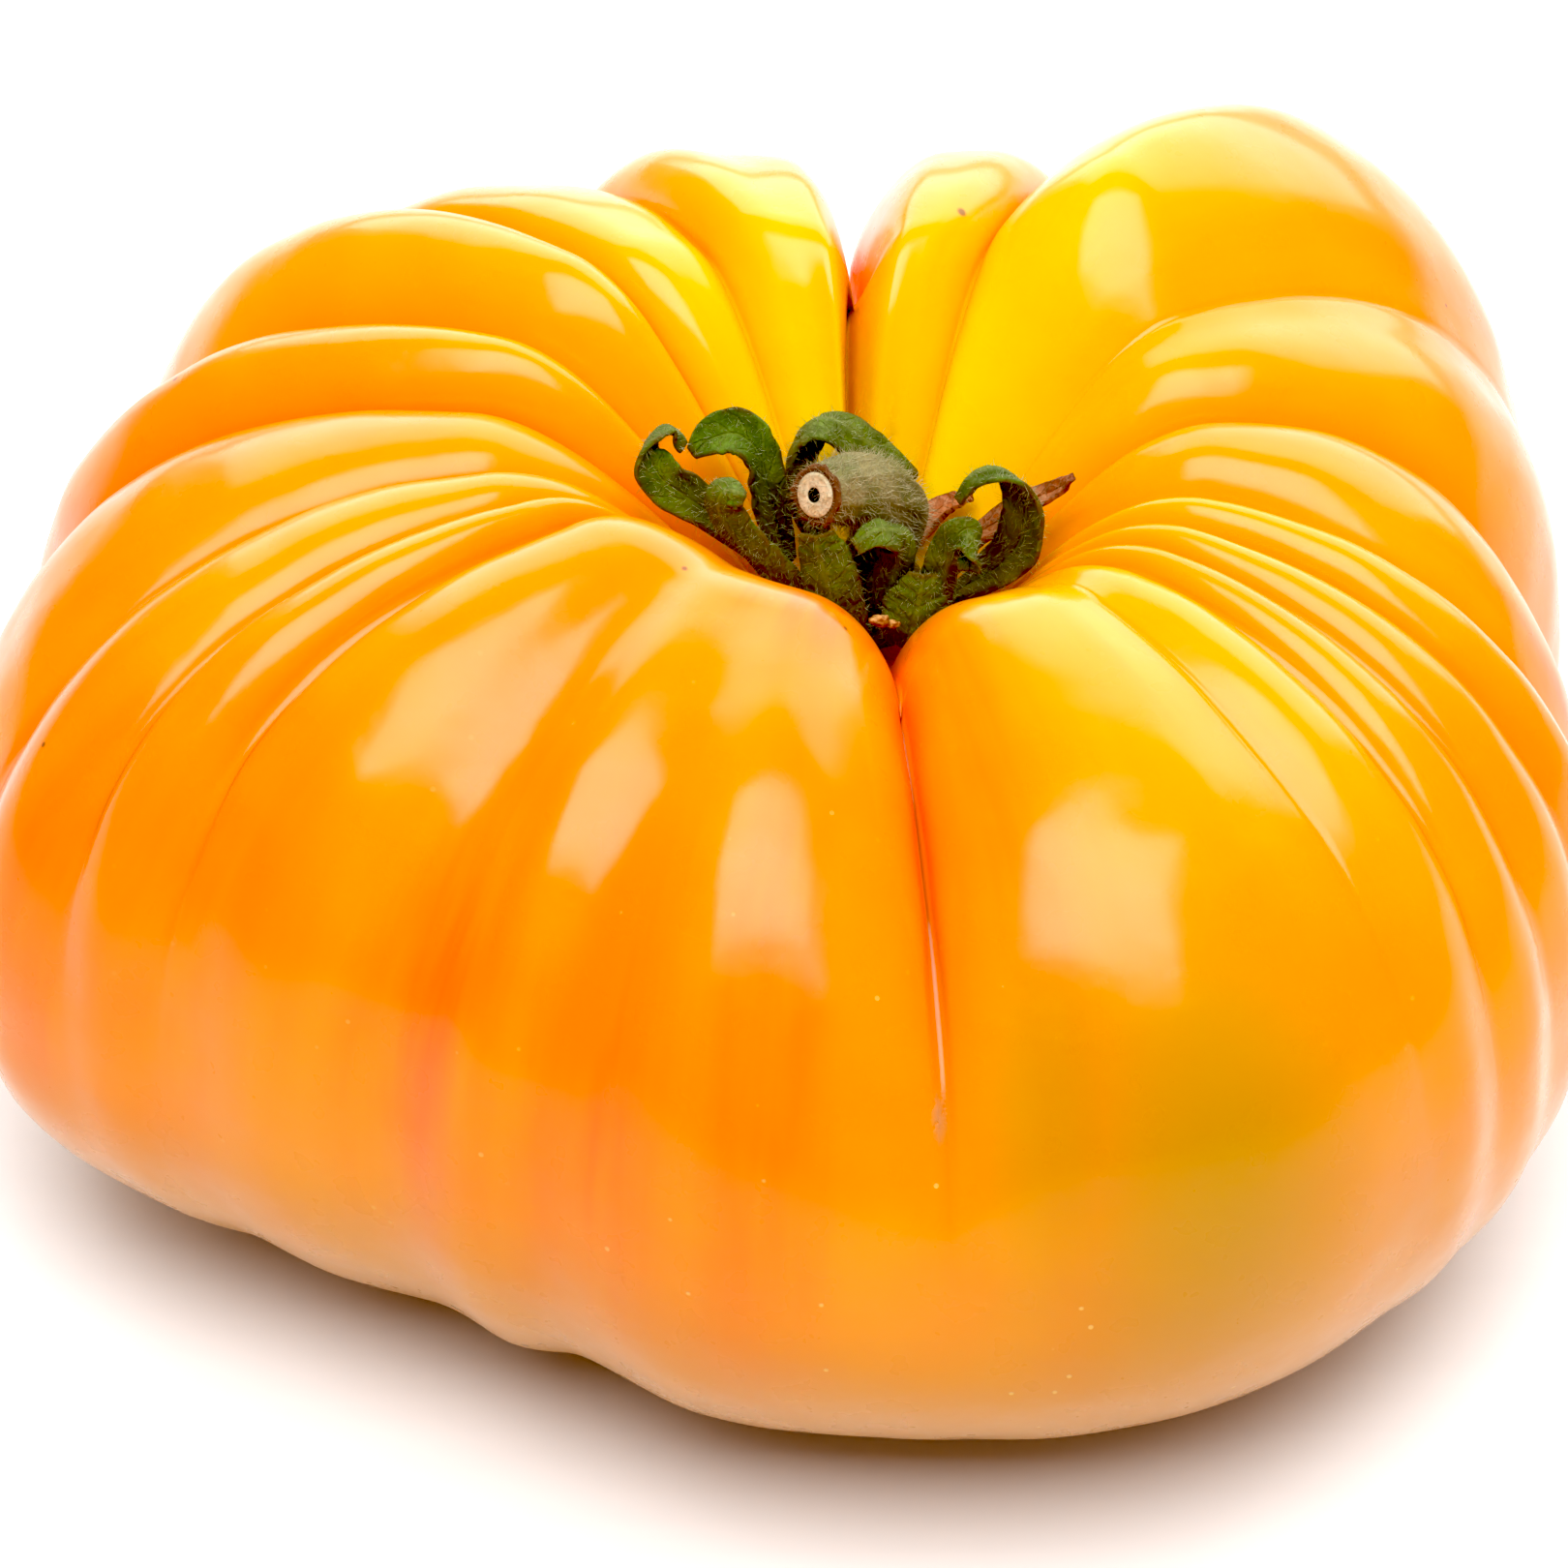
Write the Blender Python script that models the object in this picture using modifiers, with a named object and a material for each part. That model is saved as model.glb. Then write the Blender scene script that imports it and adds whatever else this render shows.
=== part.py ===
"""A ribbed beefsteak tomato with its dried calyx and the cut stub of its stem.

The fruit is one solid whose ribs are rounded rolls between creases. The calyx base, the stem stub
and each sepal are separate pieces that stand in the stem pit. Lengths in the tables are in
millimetres and angles in degrees. Bearings run anticlockwise seen from above, from +X (right);
the front is at -90. The origin is under the middle of the fruit, on the surface it rests on.
"""
import math

import bmesh
import bpy
import numpy as np
from mathutils import Vector

MM = 0.001

# Driving dimensions -------------------------------------------------------------------------
STEM_X = 6.6            # the stem axis stands this far right of the middle of the fruit
STEM_Y = 2.5            # and this far behind it
BELLY_HEIGHT = 27.0     # height of the widest part of every rib
PIT_FLOOR = 38.7        # height of the floor of the stem pit
PIT_FLAT = 0.18         # share of the pit's radius that is flat floor
REST_RADIUS = 22.0      # radius of the ring that the fruit rests on
FLATTENING = 0.5        # how far the resting ring is pressed flat
DIMPLE = 2.5            # depth of the blossom-end dimple
SHOULDER_POWER = 2.1    # roundness of the upper half of a rib, 2 is an ellipse
UNDERSIDE_POWER = 2.3   # roundness of the lower half
PIT_WALL_POWER = 1.1    # how late the pit wall turns up
PIT_CREASE_POWER = 0.8  # how fast a crease deepens up the pit wall
FADING = (1.0, 2.3)     # stations between which a crease loses its depth
SOFTENING = (1.3, 2.1)  # stations between which a sharp crease becomes a soft valley
ONSET = (0.8, 1.3)      # stations between which a soft wave sets in
RIB_WIDTHS = (12, 24)   # a narrow and a wide rib, in degrees
ROUND_LIMITS = (0.5, 0.8)   # the most of each that the round beside a crease takes up
DEGREES_PER_COLUMN = 4.5
ROWS = {"pit": 10, "shoulder": 11, "underside": 9, "dimple": 4}
SEPAL_THICKNESS = 0.7
PITH_RADIUS = 0.45
PITH_DEPTH = 1.4
SEPAL_CUP = 0.12        # how far a sepal's edges stand up, as a share of its width

# The fruit's outline: bearing, reach from the stem axis, height and radius of the rib's crest.
OUTLINE = [
    (-125, 53, 59, 22), (-110, 54, 59, 22), (-84, 57, 57, 21), (-60, 58.6, 58, 23),
    (-40, 57.5, 58, 24), (-20, 55, 58, 24), (0, 51, 59, 24), (22, 56, 60, 25),
    (48, 65, 68, 28), (66, 52, 63, 24), (80, 51, 63, 20), (92, 49, 62, 18),
    (106, 53, 63, 22), (125, 57, 61, 25), (142, 65, 63, 27), (158, 64, 61, 28),
    (180, 65, 59, 29), (200, 67, 60, 27), (218, 58, 61, 24),
]

# The creases between the ribs: bearing, depth, reach of the round beside it, turn at the stem,
# turn out at the belly, share of the depth that is left underneath, softness (1 is a soft wave).
CREASES = [
    (-171, 4.0, 9, -4, 7, 0.05, 0.0), (-159, 3.0, 6, -8, 7, 0.05, 0.0),
    (-151, 4.0, 9, -12, 5, 0.05, 0.0), (-129, 1.3, 10, -6, 0, 0.3, 1.0),
    (-112, 1.3, 11, -2, -3, 0.9, 1.0), (-85, 8.0, 19, 0, 0, 0.05, 0.0),
    (-50, 1.5, 9, 8, 0, 0.1, 0.5), (-38, 2.5, 8, 0, -4, 0.1, 0.0),
    (-31, 2.5, 7, 0, -3, 0.1, 0.0), (-23, 3.5, 7, -2, -1, 0.1, 0.0),
    (-14, 5.0, 9, -2, 0, 0.15, 0.0), (8, 6.0, 11, 0, -3, 0.25, 0.0),
    (27, 1.2, 8, 2, 0, 0.3, 0.3), (46, 1.0, 12, 0, 0, 0.3, 1.0),
    (67, 5.0, 9, 2, 0, 0.4, 0.0), (92, 11.0, 12, 8, 0, 0.4, 0.0),
    (106, 1.0, 8, 0, 0, 0.4, 1.0), (119, 4.0, 9, 0, 0, 0.4, 0.0),
    (138, 5.0, 9, 0, 0, 0.4, 0.0), (157, 6.0, 11, 0, 0, 0.4, 0.0),
    (171, 5.0, 10, -2, 0, 0.4, 0.0),
]

# Sepals, from the foot of the stem: x, y, z, width, and the bearing and tilt of the inner face.
SEPALS = {
    "sepal_right_loop": [
        (6.0, -1.4, 5.6, 2.2, 175, 50), (8.7, -3.4, 9.5, 3.4, -160, 35),
        (10.3, -4.6, 12.5, 3.9, -135, 20), (10.8, -5.2, 16.0, 3.4, -125, 0),
        (10.0, -5.4, 18.6, 2.8, -115, -40), (8.4, -5.4, 19.6, 2.4, -100, -75),
        (6.9, -5.2, 18.8, 2.0, 0, -60), (6.0, -5.0, 17.0, 1.2, 0, -25)],
    "sepal_right_fold": [
        (4.9, -3.9, 6.0, 2.2, 130, 30), (4.8, -5.1, 9.2, 2.8, 110, 20),
        (5.2, -5.9, 12.0, 3.0, 100, 20), (6.2, -6.2, 14.6, 3.0, 90, -10),
        (7.0, -7.0, 14.4, 2.4, 170, -50), (6.8, -7.8, 12.8, 1.4, -100, -10)],
    "sepal_front_right": [
        (2.3, -5.7, 5.0, 2.2, 100, 20), (2.8, -7.2, 7.4, 4.4, 95, 25),
        (3.3, -7.6, 10.0, 4.2, 90, 15), (3.6, -7.2, 12.2, 2.0, 90, -5)],
    "sepal_front_curl": [
        (0.4, -4.8, 6.6, 2.0, 95, 10), (1.2, -5.4, 9.5, 2.6, 95, 10),
        (1.9, -5.7, 12.6, 2.6, 95, 0), (1.9, -6.4, 14.8, 2.6, 170, -50),
        (0.4, -7.2, 15.8, 2.4, 100, -75), (-1.2, -7.9, 15.0, 1.2, 60, -50)],
    "sepal_front": [
        (-1.1, -6.1, 5.6, 2.2, 80, 20), (-2.2, -7.2, 8.8, 3.8, 80, 20),
        (-2.9, -7.6, 11.6, 4.2, 78, 10), (-3.5, -7.6, 14.2, 3.6, 76, 0), (-3.8, -7.5, 15.8, 2.4, 76, -5)],
    "sepal_front_left": [
        (-4.3, -4.4, 6.4, 2.2, 45, 40), (-6.5, -4.8, 10.2, 3.4, 60, 30),
        (-8.9, -4.8, 13.0, 3.6, 70, 25), (-10.4, -4.8, 16.0, 3.2, 60, 5),
        (-9.9, -5.0, 17.6, 2.4, 30, -40), (-8.7, -5.2, 17.2, 1.2, 0, -60)],
    "sepal_left_hook": [
        (-6.0, -1.2, 6.0, 2.2, 0, 50), (-8.6, -1.1, 10.0, 2.8, -20, 45),
        (-12.0, -1.8, 14.0, 3.2, -50, 35), (-14.6, -2.4, 16.8, 3.2, -60, 10),
        (-15.4, -1.7, 18.8, 2.8, -50, -20), (-14.2, -0.4, 19.6, 2.4, -60, -60),
        (-13.0, -0.4, 18.2, 1.4, 180, -40)],
    "sepal_left_leaf": [
        (-5.7, 1.9, 6.0, 2.2, -20, 40), (-6.8, 1.8, 10.5, 2.8, -50, 10),
        (-7.3, 1.6, 13.5, 3.0, -60, 10), (-7.8, 1.8, 15.8, 3.0, -50, 45),
        (-9.1, 2.4, 17.0, 3.6, -80, 65), (-10.9, 2.4, 16.8, 3.2, -100, 65),
        (-12.5, 1.6, 16.0, 1.0, -120, 55)],
    "sepal_back_arch": [
        (-3.6, 5.0, 6.2, 2.2, -50, 30), (-5.0, 5.2, 10.5, 3.4, -35, 0),
        (-5.1, 5.1, 13.2, 4.0, -35, -5), (-4.5, 5.2, 15.3, 4.2, -40, -40),
        (-3.2, 5.1, 16.2, 4.0, -60, -75), (-1.0, 5.3, 14.9, 3.4, 125, -53),
        (1.3, 5.6, 12.7, 2.8, 125, -50), (3.4, 5.9, 10.8, 1.2, 125, -50)],
    "sepal_dry_right": [
        (5.6, 2.0, 6.0, 2.0, -175, 50), (8.6, 1.0, 10.0, 2.4, -160, 45),
        (11.1, -1.0, 13.6, 2.0, -150, 45), (12.9, -2.6, 16.0, 1.4, -140, 45),
        (14.0, -3.3, 17.6, 0.7, -140, 45)],
    "sepal_dry_back": [
        (3.2, 5.0, 6.0, 2.0, -130, 50), (4.7, 5.8, 7.6, 2.0, -120, 60),
        (6.2, 5.7, 8.8, 1.6, -110, 70), (7.4, 5.2, 9.6, 0.7, -100, 70)],
}

# The stem stub's centre line from the foot of the stem: x, y, z and radius.
STUB = [
    (0.0, 0.0, 5.1, 2.3), (0.2, 0.1, 6.6, 2.3), (1.3, 0.6, 9.6, 2.4), (1.3, -0.1, 12.8, 2.6),
    (-0.4, -2.2, 15.6, 2.65), (-2.4, -4.2, 17.0, 2.35), (-3.5, -5.3, 17.6, 2.1),
    (-4.0, -5.8, 17.9, 1.6),
]

# The calyx base's turned outline: radius and height above the foot of the stem.
BASE_PROFILE = [(0.0, 4.6), (3.4, 4.6), (5.0, 4.9), (5.3, 4.6), (4.5, 3.6), (2.9, 2.0), (0.0, 1.1)]

# Colour, roughness and metallic value of each material.
FINISHES = {
    "fruit_skin": ((0.95, 0.42, 0.02), 0.25, 0.0),
    "calyx_green": ((0.10, 0.16, 0.04), 0.85, 0.0),
    "stem_green": ((0.20, 0.20, 0.08), 0.85, 0.0),
    "dry_tissue": ((0.45, 0.22, 0.10), 0.9, 0.0),
}


def clear_scene():
    """Remove every object that the file opened with."""
    for item in list(bpy.data.objects):
        bpy.data.objects.remove(item, do_unlink=True)


def make_finish(name):
    """Return the material called name, a Principled BSDF with its colour and roughness."""
    colour, roughness, metallic = FINISHES[name]
    finish = bpy.data.materials.new(name)
    finish.use_nodes = True
    shader = finish.node_tree.nodes["Principled BSDF"]
    shader.inputs["Base Color"].default_value = (*colour, 1.0)
    shader.inputs["Roughness"].default_value = roughness
    shader.inputs["Metallic"].default_value = metallic
    finish.diffuse_color = (*colour, 1.0)
    return finish


def add_object(name, data, collection, finish, foot):
    """Put data in the scene as an object parented to the foot of the stem."""
    item = bpy.data.objects.new(name, data)
    collection.objects.link(item)
    item.data.materials.append(finish)
    item.parent = foot
    return item


def around(bearing, values):
    """Read one column of OUTLINE smoothly at any bearing, with no overshoot between its points."""
    knots = np.array([row[0] for row in OUTLINE] + [OUTLINE[0][0] + 360.0])
    heights = np.append(values, values[0])
    steps = np.diff(knots)
    slopes = np.diff(heights) / steps
    before = np.roll(slopes, 1)
    same_way = slopes * before > 0
    total = np.where(same_way, slopes + before, 1.0)
    tangents = np.where(same_way, 2.0 * slopes * before / total, 0.0)
    tangents = np.append(tangents, tangents[0])
    place = (bearing - knots[0]) % 360.0 + knots[0]
    index = np.clip(np.searchsorted(knots, place, side="right") - 1, 0, len(steps) - 1)
    u = (place - knots[index]) / steps[index]
    start = (1 + 2 * u) * (1 - u) ** 2 * heights[index] + u * (1 - u) ** 2 * steps[index] * tangents[index]
    end = u * u * (3 - 2 * u) * heights[index + 1] + u * u * (u - 1) * steps[index] * tangents[index + 1]
    return start + end


def rib_columns():
    """Return, for each column of vertices, the crease it follows and how far it is to the next."""
    columns = []
    for index, crease in enumerate(CREASES):
        width = (CREASES[(index + 1) % len(CREASES)][0] - crease[0]) % 360
        count = max(3, round(width / DEGREES_PER_COLUMN))
        columns += [(index, step / count) for step in range(count)]
    return columns


def meridian_stations():
    """Return the rows from the pit floor to the blossom end, one unit long for each leg."""
    rows = [leg + step / count for leg, count in enumerate(ROWS.values()) for step in range(count)]
    return np.array(rows + [float(len(ROWS))])


def smooth_step(limits, value):
    """Return 0 below the first limit, 1 above the second and a smooth rise between them."""
    share = np.clip((value - limits[0]) / (limits[1] - limits[0]), 0, 1)
    return share * share * (3 - 2 * share)


def crease_drop(crease, distance, rib_width, station):
    """Return how far the skin drops at a distance in degrees from one crease."""
    depth, reach, under, softness = crease[1], crease[2], crease[5], crease[6]
    widest_round = rib_width * np.interp(rib_width, RIB_WIDTHS, ROUND_LIMITS)
    share = np.clip(distance / np.minimum(reach, widest_round), 0, 1)
    rounded = 1 - np.sqrt(np.clip(1 - (1 - share) ** 2, 0, 1))
    wave = (1 + np.cos(math.pi * share)) / 2
    soft = softness + (1 - softness) * smooth_step(SOFTENING, station)
    in_pit = np.clip(station, 0, 1) ** PIT_CREASE_POWER
    below = 1 - (1 - under) * smooth_step(FADING, station)
    below = np.where(station > 3, under * np.clip(4 - station, 0, 1), below)
    fade = np.where(station < 1, in_pit, below)
    fade = fade * (1 - softness * (1 - smooth_step(ONSET, station)))
    return depth * (rounded * (1 - soft) + wave * soft) * fade


def rib_section(reach, crest_height, crest_radius, station):
    """Return radius and height along a rib, down the pit wall and round to the blossom end."""
    pit = np.clip(station, 0, 1)
    wall = np.sin(np.clip((pit - PIT_FLAT) / (1 - PIT_FLAT), 0, 1) * math.pi / 2)
    wall = wall ** PIT_WALL_POWER
    upper = np.clip(station - 1, 0, 1) * math.pi / 2
    lower = np.clip(station - 2, 0, 1) * math.pi / 2
    middle = np.clip(station - 3, 0, 1)
    legs = [
        (crest_radius * pit, PIT_FLOOR + FLATTENING + (crest_height - PIT_FLOOR - FLATTENING) * wall),
        (crest_radius + (reach - crest_radius) * np.sin(upper) ** (2 / SHOULDER_POWER),
         BELLY_HEIGHT + (crest_height - BELLY_HEIGHT) * np.cos(upper) ** (2 / SHOULDER_POWER)),
        (REST_RADIUS + (reach - REST_RADIUS) * np.cos(lower) ** (2 / UNDERSIDE_POWER),
         BELLY_HEIGHT - BELLY_HEIGHT * np.sin(lower) ** (2 / UNDERSIDE_POWER) + 0 * reach),
        (REST_RADIUS * (1 - middle) + 0 * reach, DIMPLE * (1 - np.cos(math.pi * middle)) / 2 + 0 * reach),
    ]
    leg = np.clip(np.floor(station), 0, 3)
    radius = np.select([leg == n for n in range(4)], [item[0] for item in legs])
    height = np.select([leg == n for n in range(4)], [item[1] for item in legs])
    return radius, height


def fruit_points():
    """Return the skin's points by row and column: across from the stem axis, up from the table."""
    columns = rib_columns()
    table = np.array(CREASES, float)
    this = table[[index for index, _ in columns]]
    following = table[[(index + 1) % len(CREASES) for index, _ in columns]]
    share = np.array([part for _, part in columns])
    station = meridian_stations()[:, None]
    at_stem = np.clip(1 - station, 0, 1)
    out = np.clip(station - 1, 0, 1)
    at_belly = out * out * (3 - 2 * out)
    first = this[:, 0] + this[:, 3] * at_stem + this[:, 4] * at_belly
    second = following[:, 0] + following[:, 3] * at_stem + following[:, 4] * at_belly
    width = (second - first) % 360
    bearing = first + share * width
    outline = np.array(OUTLINE, float)
    reach, crest_height, crest_radius = (around(bearing, outline[:, n]) for n in (1, 2, 3))
    radius, height = rib_section(reach, crest_height, crest_radius, station + 0 * bearing)
    along_r = np.gradient(radius, axis=0)
    along_z = np.gradient(height, axis=0)
    length = np.hypot(along_r, along_z) + 1e-9
    drop = crease_drop(this.T, share * width, width, station)
    drop = drop + crease_drop(following.T, (1 - share) * width, width, station)
    radius = np.maximum(radius + along_z / length * drop, 0)
    height = np.maximum(height - along_r / length * drop - FLATTENING, 0)
    angle = np.radians(bearing)
    return np.stack([radius * np.cos(angle), radius * np.sin(angle), height], axis=-1)


def make_fruit(collection, finish, foot):
    """Shape a sphere's rows and columns into the ribbed fruit."""
    points = fruit_points() * MM
    rows, columns = points.shape[0] - 1, points.shape[1]
    mesh = bpy.data.meshes.new("fruit")
    ball = bmesh.new()
    bmesh.ops.create_uvsphere(ball, u_segments=columns, v_segments=rows, radius=1.0)
    for vertex in ball.verts:
        row = round(math.acos(max(-1.0, min(1.0, vertex.co.z))) / math.pi * rows)
        column = round(math.atan2(vertex.co.y, vertex.co.x) / (2 * math.pi) * columns) % columns
        vertex.co = Vector(points[row, 0 if row in (0, rows) else column])
    for height in (PIT_FLOOR, DIMPLE - FLATTENING):
        pole = min(ball.verts, key=lambda v: (v.co - Vector((0, 0, height * MM))).length)
        pole.co = (0.0, 0.0, height * MM)
    ball.to_mesh(mesh)
    ball.free()
    mesh.shade_smooth()
    fruit = add_object("fruit", mesh, collection, finish, foot)
    fruit.location = (0.0, 0.0, -PIT_FLOOR * MM)
    return fruit


def smooth_path(points, count):
    """Return count samples of a Catmull-Rom curve through rows of numbers."""
    rows = np.array(points, float)
    ends = [2 * rows[0] - rows[1], *rows, 2 * rows[-1] - rows[-2]]
    samples = []
    for place in np.linspace(0, len(rows) - 1, count):
        index = min(int(place), len(rows) - 2)
        t = place - index
        a, b, c, d = ends[index:index + 4]
        samples.append(0.5 * (2 * b + (c - a) * t + (2 * a - 5 * b + 4 * c - d) * t ** 2
                              + (3 * b - a - 3 * c + d) * t ** 3))
    return np.array(samples)


def sepal_frames(rows, count):
    """Return centre, side and inner-face directions and width at each station of a sepal."""
    table = []
    for x, y, z, width, bearing, tilt in rows:
        flat = math.cos(math.radians(tilt))
        face = (flat * math.cos(math.radians(bearing)), flat * math.sin(math.radians(bearing)),
                math.sin(math.radians(tilt)))
        table.append((x, y, z, width, *face))
    path = smooth_path(table, count)
    ahead = np.gradient(path[:, :3], axis=0)
    frames = []
    for sample, step in zip(path, ahead):
        tangent = Vector(step).normalized()
        side = tangent.cross(Vector(sample[4:7])).normalized()
        face = side.cross(tangent)
        frames.append((Vector(sample[:3]), side, face, sample[3]))
    return frames


def make_sepal(name, rows, collection, finish, foot):
    """Bend a flat grid along a sepal's centre line, cup it across and give it thickness."""
    along, across = 3 * len(rows), 4
    frames = sepal_frames(rows, along + 1)
    mesh = bpy.data.meshes.new(name)
    leaf = bmesh.new()
    bmesh.ops.create_grid(leaf, x_segments=along, y_segments=across, size=1.0)
    for vertex in leaf.verts:
        centre, side, face, width = frames[round((vertex.co.x + 1) / 2 * along)]
        edge = vertex.co.y
        cup = SEPAL_CUP * width * edge * edge
        vertex.co = (centre + side * edge * width / 2 + face * cup) * MM
    leaf.to_mesh(mesh)
    leaf.free()
    mesh.shade_smooth()
    sepal = add_object(name, mesh, collection, finish, foot)
    shell = sepal.modifiers.new("thickness", "SOLIDIFY")
    shell.thickness = SEPAL_THICKNESS * MM
    shell.offset = 0.0
    return sepal


def make_tube(name, points, collection, finish, foot):
    """Return a capped round tube with its own radius at each point, as a welded mesh object."""
    curve = bpy.data.curves.new(name, "CURVE")
    curve.dimensions = "3D"
    curve.bevel_depth = MM
    curve.bevel_resolution = 3
    curve.use_fill_caps = True
    spline = curve.splines.new("POLY")
    spline.points.add(len(points) - 1)
    for point, (x, y, z, radius) in zip(spline.points, points):
        point.co = (x * MM, y * MM, z * MM, 1.0)
        point.radius = radius
    guide = bpy.data.objects.new(name + "_guide", curve)
    collection.objects.link(guide)
    bpy.context.view_layer.update()
    solid = bpy.data.meshes.new_from_object(guide.evaluated_get(bpy.context.evaluated_depsgraph_get()))
    bpy.data.objects.remove(guide, do_unlink=True)
    weld = bmesh.new()
    weld.from_mesh(solid)
    bmesh.ops.remove_doubles(weld, verts=weld.verts, dist=0.01 * MM)
    bmesh.ops.recalc_face_normals(weld, faces=weld.faces)
    weld.to_mesh(solid)
    weld.free()
    solid.name = name
    solid.materials.clear()
    solid.shade_smooth()
    return add_object(name, solid, collection, finish, foot)


def make_stem_stub(collection, cutters, finish, foot):
    """Make the bent stub with its cut end and the small hole where the pith has dried."""
    stub = make_tube("stem_stub", smooth_path(STUB, 18), collection, finish, foot)
    end = Vector(STUB[-1][:3])
    outward = (end - Vector(STUB[-2][:3])).normalized()
    cutter_mesh = bpy.data.meshes.new("pith_cutter")
    drill = bmesh.new()
    bmesh.ops.create_cone(drill, cap_ends=True, segments=12, radius1=PITH_RADIUS * MM,
                          radius2=PITH_RADIUS * MM, depth=2 * PITH_DEPTH * MM)
    drill.to_mesh(cutter_mesh)
    drill.free()
    cutter = bpy.data.objects.new("pith_cutter", cutter_mesh)
    cutters.objects.link(cutter)
    cutter.parent = foot
    cutter.location = end * MM
    cutter.rotation_euler = outward.to_track_quat("Z", "Y").to_euler()
    cutter.hide_render = True
    cutter.display_type = "WIRE"
    cut = stub.modifiers.new("pith", "BOOLEAN")
    cut.operation = "DIFFERENCE"
    cut.solver = "EXACT"
    cut.object = cutter
    return stub


def make_calyx_base(collection, finish, foot):
    """Turn the small green disc that carries the sepals and the stem."""
    mesh = bpy.data.meshes.new("calyx_base")
    outline = bmesh.new()
    points = [outline.verts.new((radius * MM, 0.0, height * MM)) for radius, height in BASE_PROFILE]
    for start, end in zip(points, points[1:]):
        outline.edges.new((start, end))
    outline.to_mesh(mesh)
    outline.free()
    base = add_object("calyx_base", mesh, collection, finish, foot)
    turn = base.modifiers.new("turn", "SCREW")
    turn.steps = 24
    turn.render_steps = 24
    turn.use_merge_vertices = True
    turn.merge_threshold = 0.01 * MM
    return base


def main():
    """Build the tomato."""
    clear_scene()
    tomato = bpy.data.collections.new("tomato")
    cutters = bpy.data.collections.new("cutters")
    bpy.context.scene.collection.children.link(tomato)
    bpy.context.scene.collection.children.link(cutters)
    finishes = {name: make_finish(name) for name in FINISHES}
    foot = bpy.data.objects.new("stem_foot", None)
    foot.location = (STEM_X * MM, STEM_Y * MM, PIT_FLOOR * MM)
    tomato.objects.link(foot)
    make_fruit(tomato, finishes["fruit_skin"], foot)
    make_calyx_base(tomato, finishes["calyx_green"], foot)
    make_stem_stub(tomato, cutters, finishes["stem_green"], foot)
    for name, rows in SEPALS.items():
        finish = finishes["dry_tissue"] if "_dry_" in name else finishes["calyx_green"]
        make_sepal(name, rows, tomato, finish, foot)


main()
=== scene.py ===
"""Looks of a ribbed yellow beefsteak tomato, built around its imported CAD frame.

Sizes in the tables are millimetres and degrees unless a comment says otherwise. Bearings run
anticlockwise seen from above, from +X (right), so the front of the fruit is at -90. Stations run
down the skin: 0 is the floor of the stem pit, 1 the crest of a rib, 2 the belly, 3 the ring that
the fruit rests on and 4 the blossom end.
"""
import logging
import math
import random
from dataclasses import astuple, dataclass, field
from enum import Enum

import bmesh
import bpy
import numpy as np
from mathutils import Matrix, Vector, noise


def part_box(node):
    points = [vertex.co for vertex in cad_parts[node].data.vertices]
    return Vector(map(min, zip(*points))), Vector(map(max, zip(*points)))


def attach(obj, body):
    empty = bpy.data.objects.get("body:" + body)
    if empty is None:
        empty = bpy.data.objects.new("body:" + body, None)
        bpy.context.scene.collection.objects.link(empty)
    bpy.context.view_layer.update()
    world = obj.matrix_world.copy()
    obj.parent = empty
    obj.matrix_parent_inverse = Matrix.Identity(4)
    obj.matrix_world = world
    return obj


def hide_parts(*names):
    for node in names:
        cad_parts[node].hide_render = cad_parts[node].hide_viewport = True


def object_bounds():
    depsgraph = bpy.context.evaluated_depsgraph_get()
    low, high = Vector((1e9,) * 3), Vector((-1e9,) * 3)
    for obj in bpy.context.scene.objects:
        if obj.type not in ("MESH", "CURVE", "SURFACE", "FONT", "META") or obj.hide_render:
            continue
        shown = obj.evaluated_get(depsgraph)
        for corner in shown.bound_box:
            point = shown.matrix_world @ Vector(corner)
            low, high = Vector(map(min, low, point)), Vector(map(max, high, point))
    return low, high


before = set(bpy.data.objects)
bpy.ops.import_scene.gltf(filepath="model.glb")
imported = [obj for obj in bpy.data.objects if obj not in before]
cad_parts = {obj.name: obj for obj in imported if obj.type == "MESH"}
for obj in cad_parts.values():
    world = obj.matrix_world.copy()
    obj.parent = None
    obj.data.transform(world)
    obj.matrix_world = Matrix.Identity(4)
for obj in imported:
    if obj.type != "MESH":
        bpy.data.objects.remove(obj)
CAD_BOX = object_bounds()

MM = 0.001
LOG = logging.getLogger("tomato")


class Slot(Enum):
    """The record's material slots."""

    SKIN = "fruit_skin"
    CALYX = "calyx_green"
    STEM = "stem_green"
    DRY = "dry_tissue"


def srgb(red: float, green: float, blue: float) -> tuple[float, float, float, float]:
    """Turn a screen colour into the linear colour that a shader takes.

    Args:
        red: the red part, from 0 to 255.
        green: the green part, from 0 to 255.
        blue: the blue part, from 0 to 255.

    Returns:
        The linear colour, fully opaque.
    """
    parts = [value / 255 for value in (red, green, blue)]
    linear = [v / 12.92 if v <= 0.04045 else ((v + 0.055) / 1.055) ** 2.4 for v in parts]
    return (*linear, 1.0)


def smooth_step(low: float, high: float, value: np.ndarray) -> np.ndarray:
    """Rise smoothly from 0 to 1.

    Args:
        low: the value up to which the result is 0.
        high: the value from which the result is 1.
        value: the numbers at which the rise is read.

    Returns:
        The rise at each number.
    """
    share = np.clip((value - low) / (high - low), 0, 1)
    return share * share * (3 - 2 * share)


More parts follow.
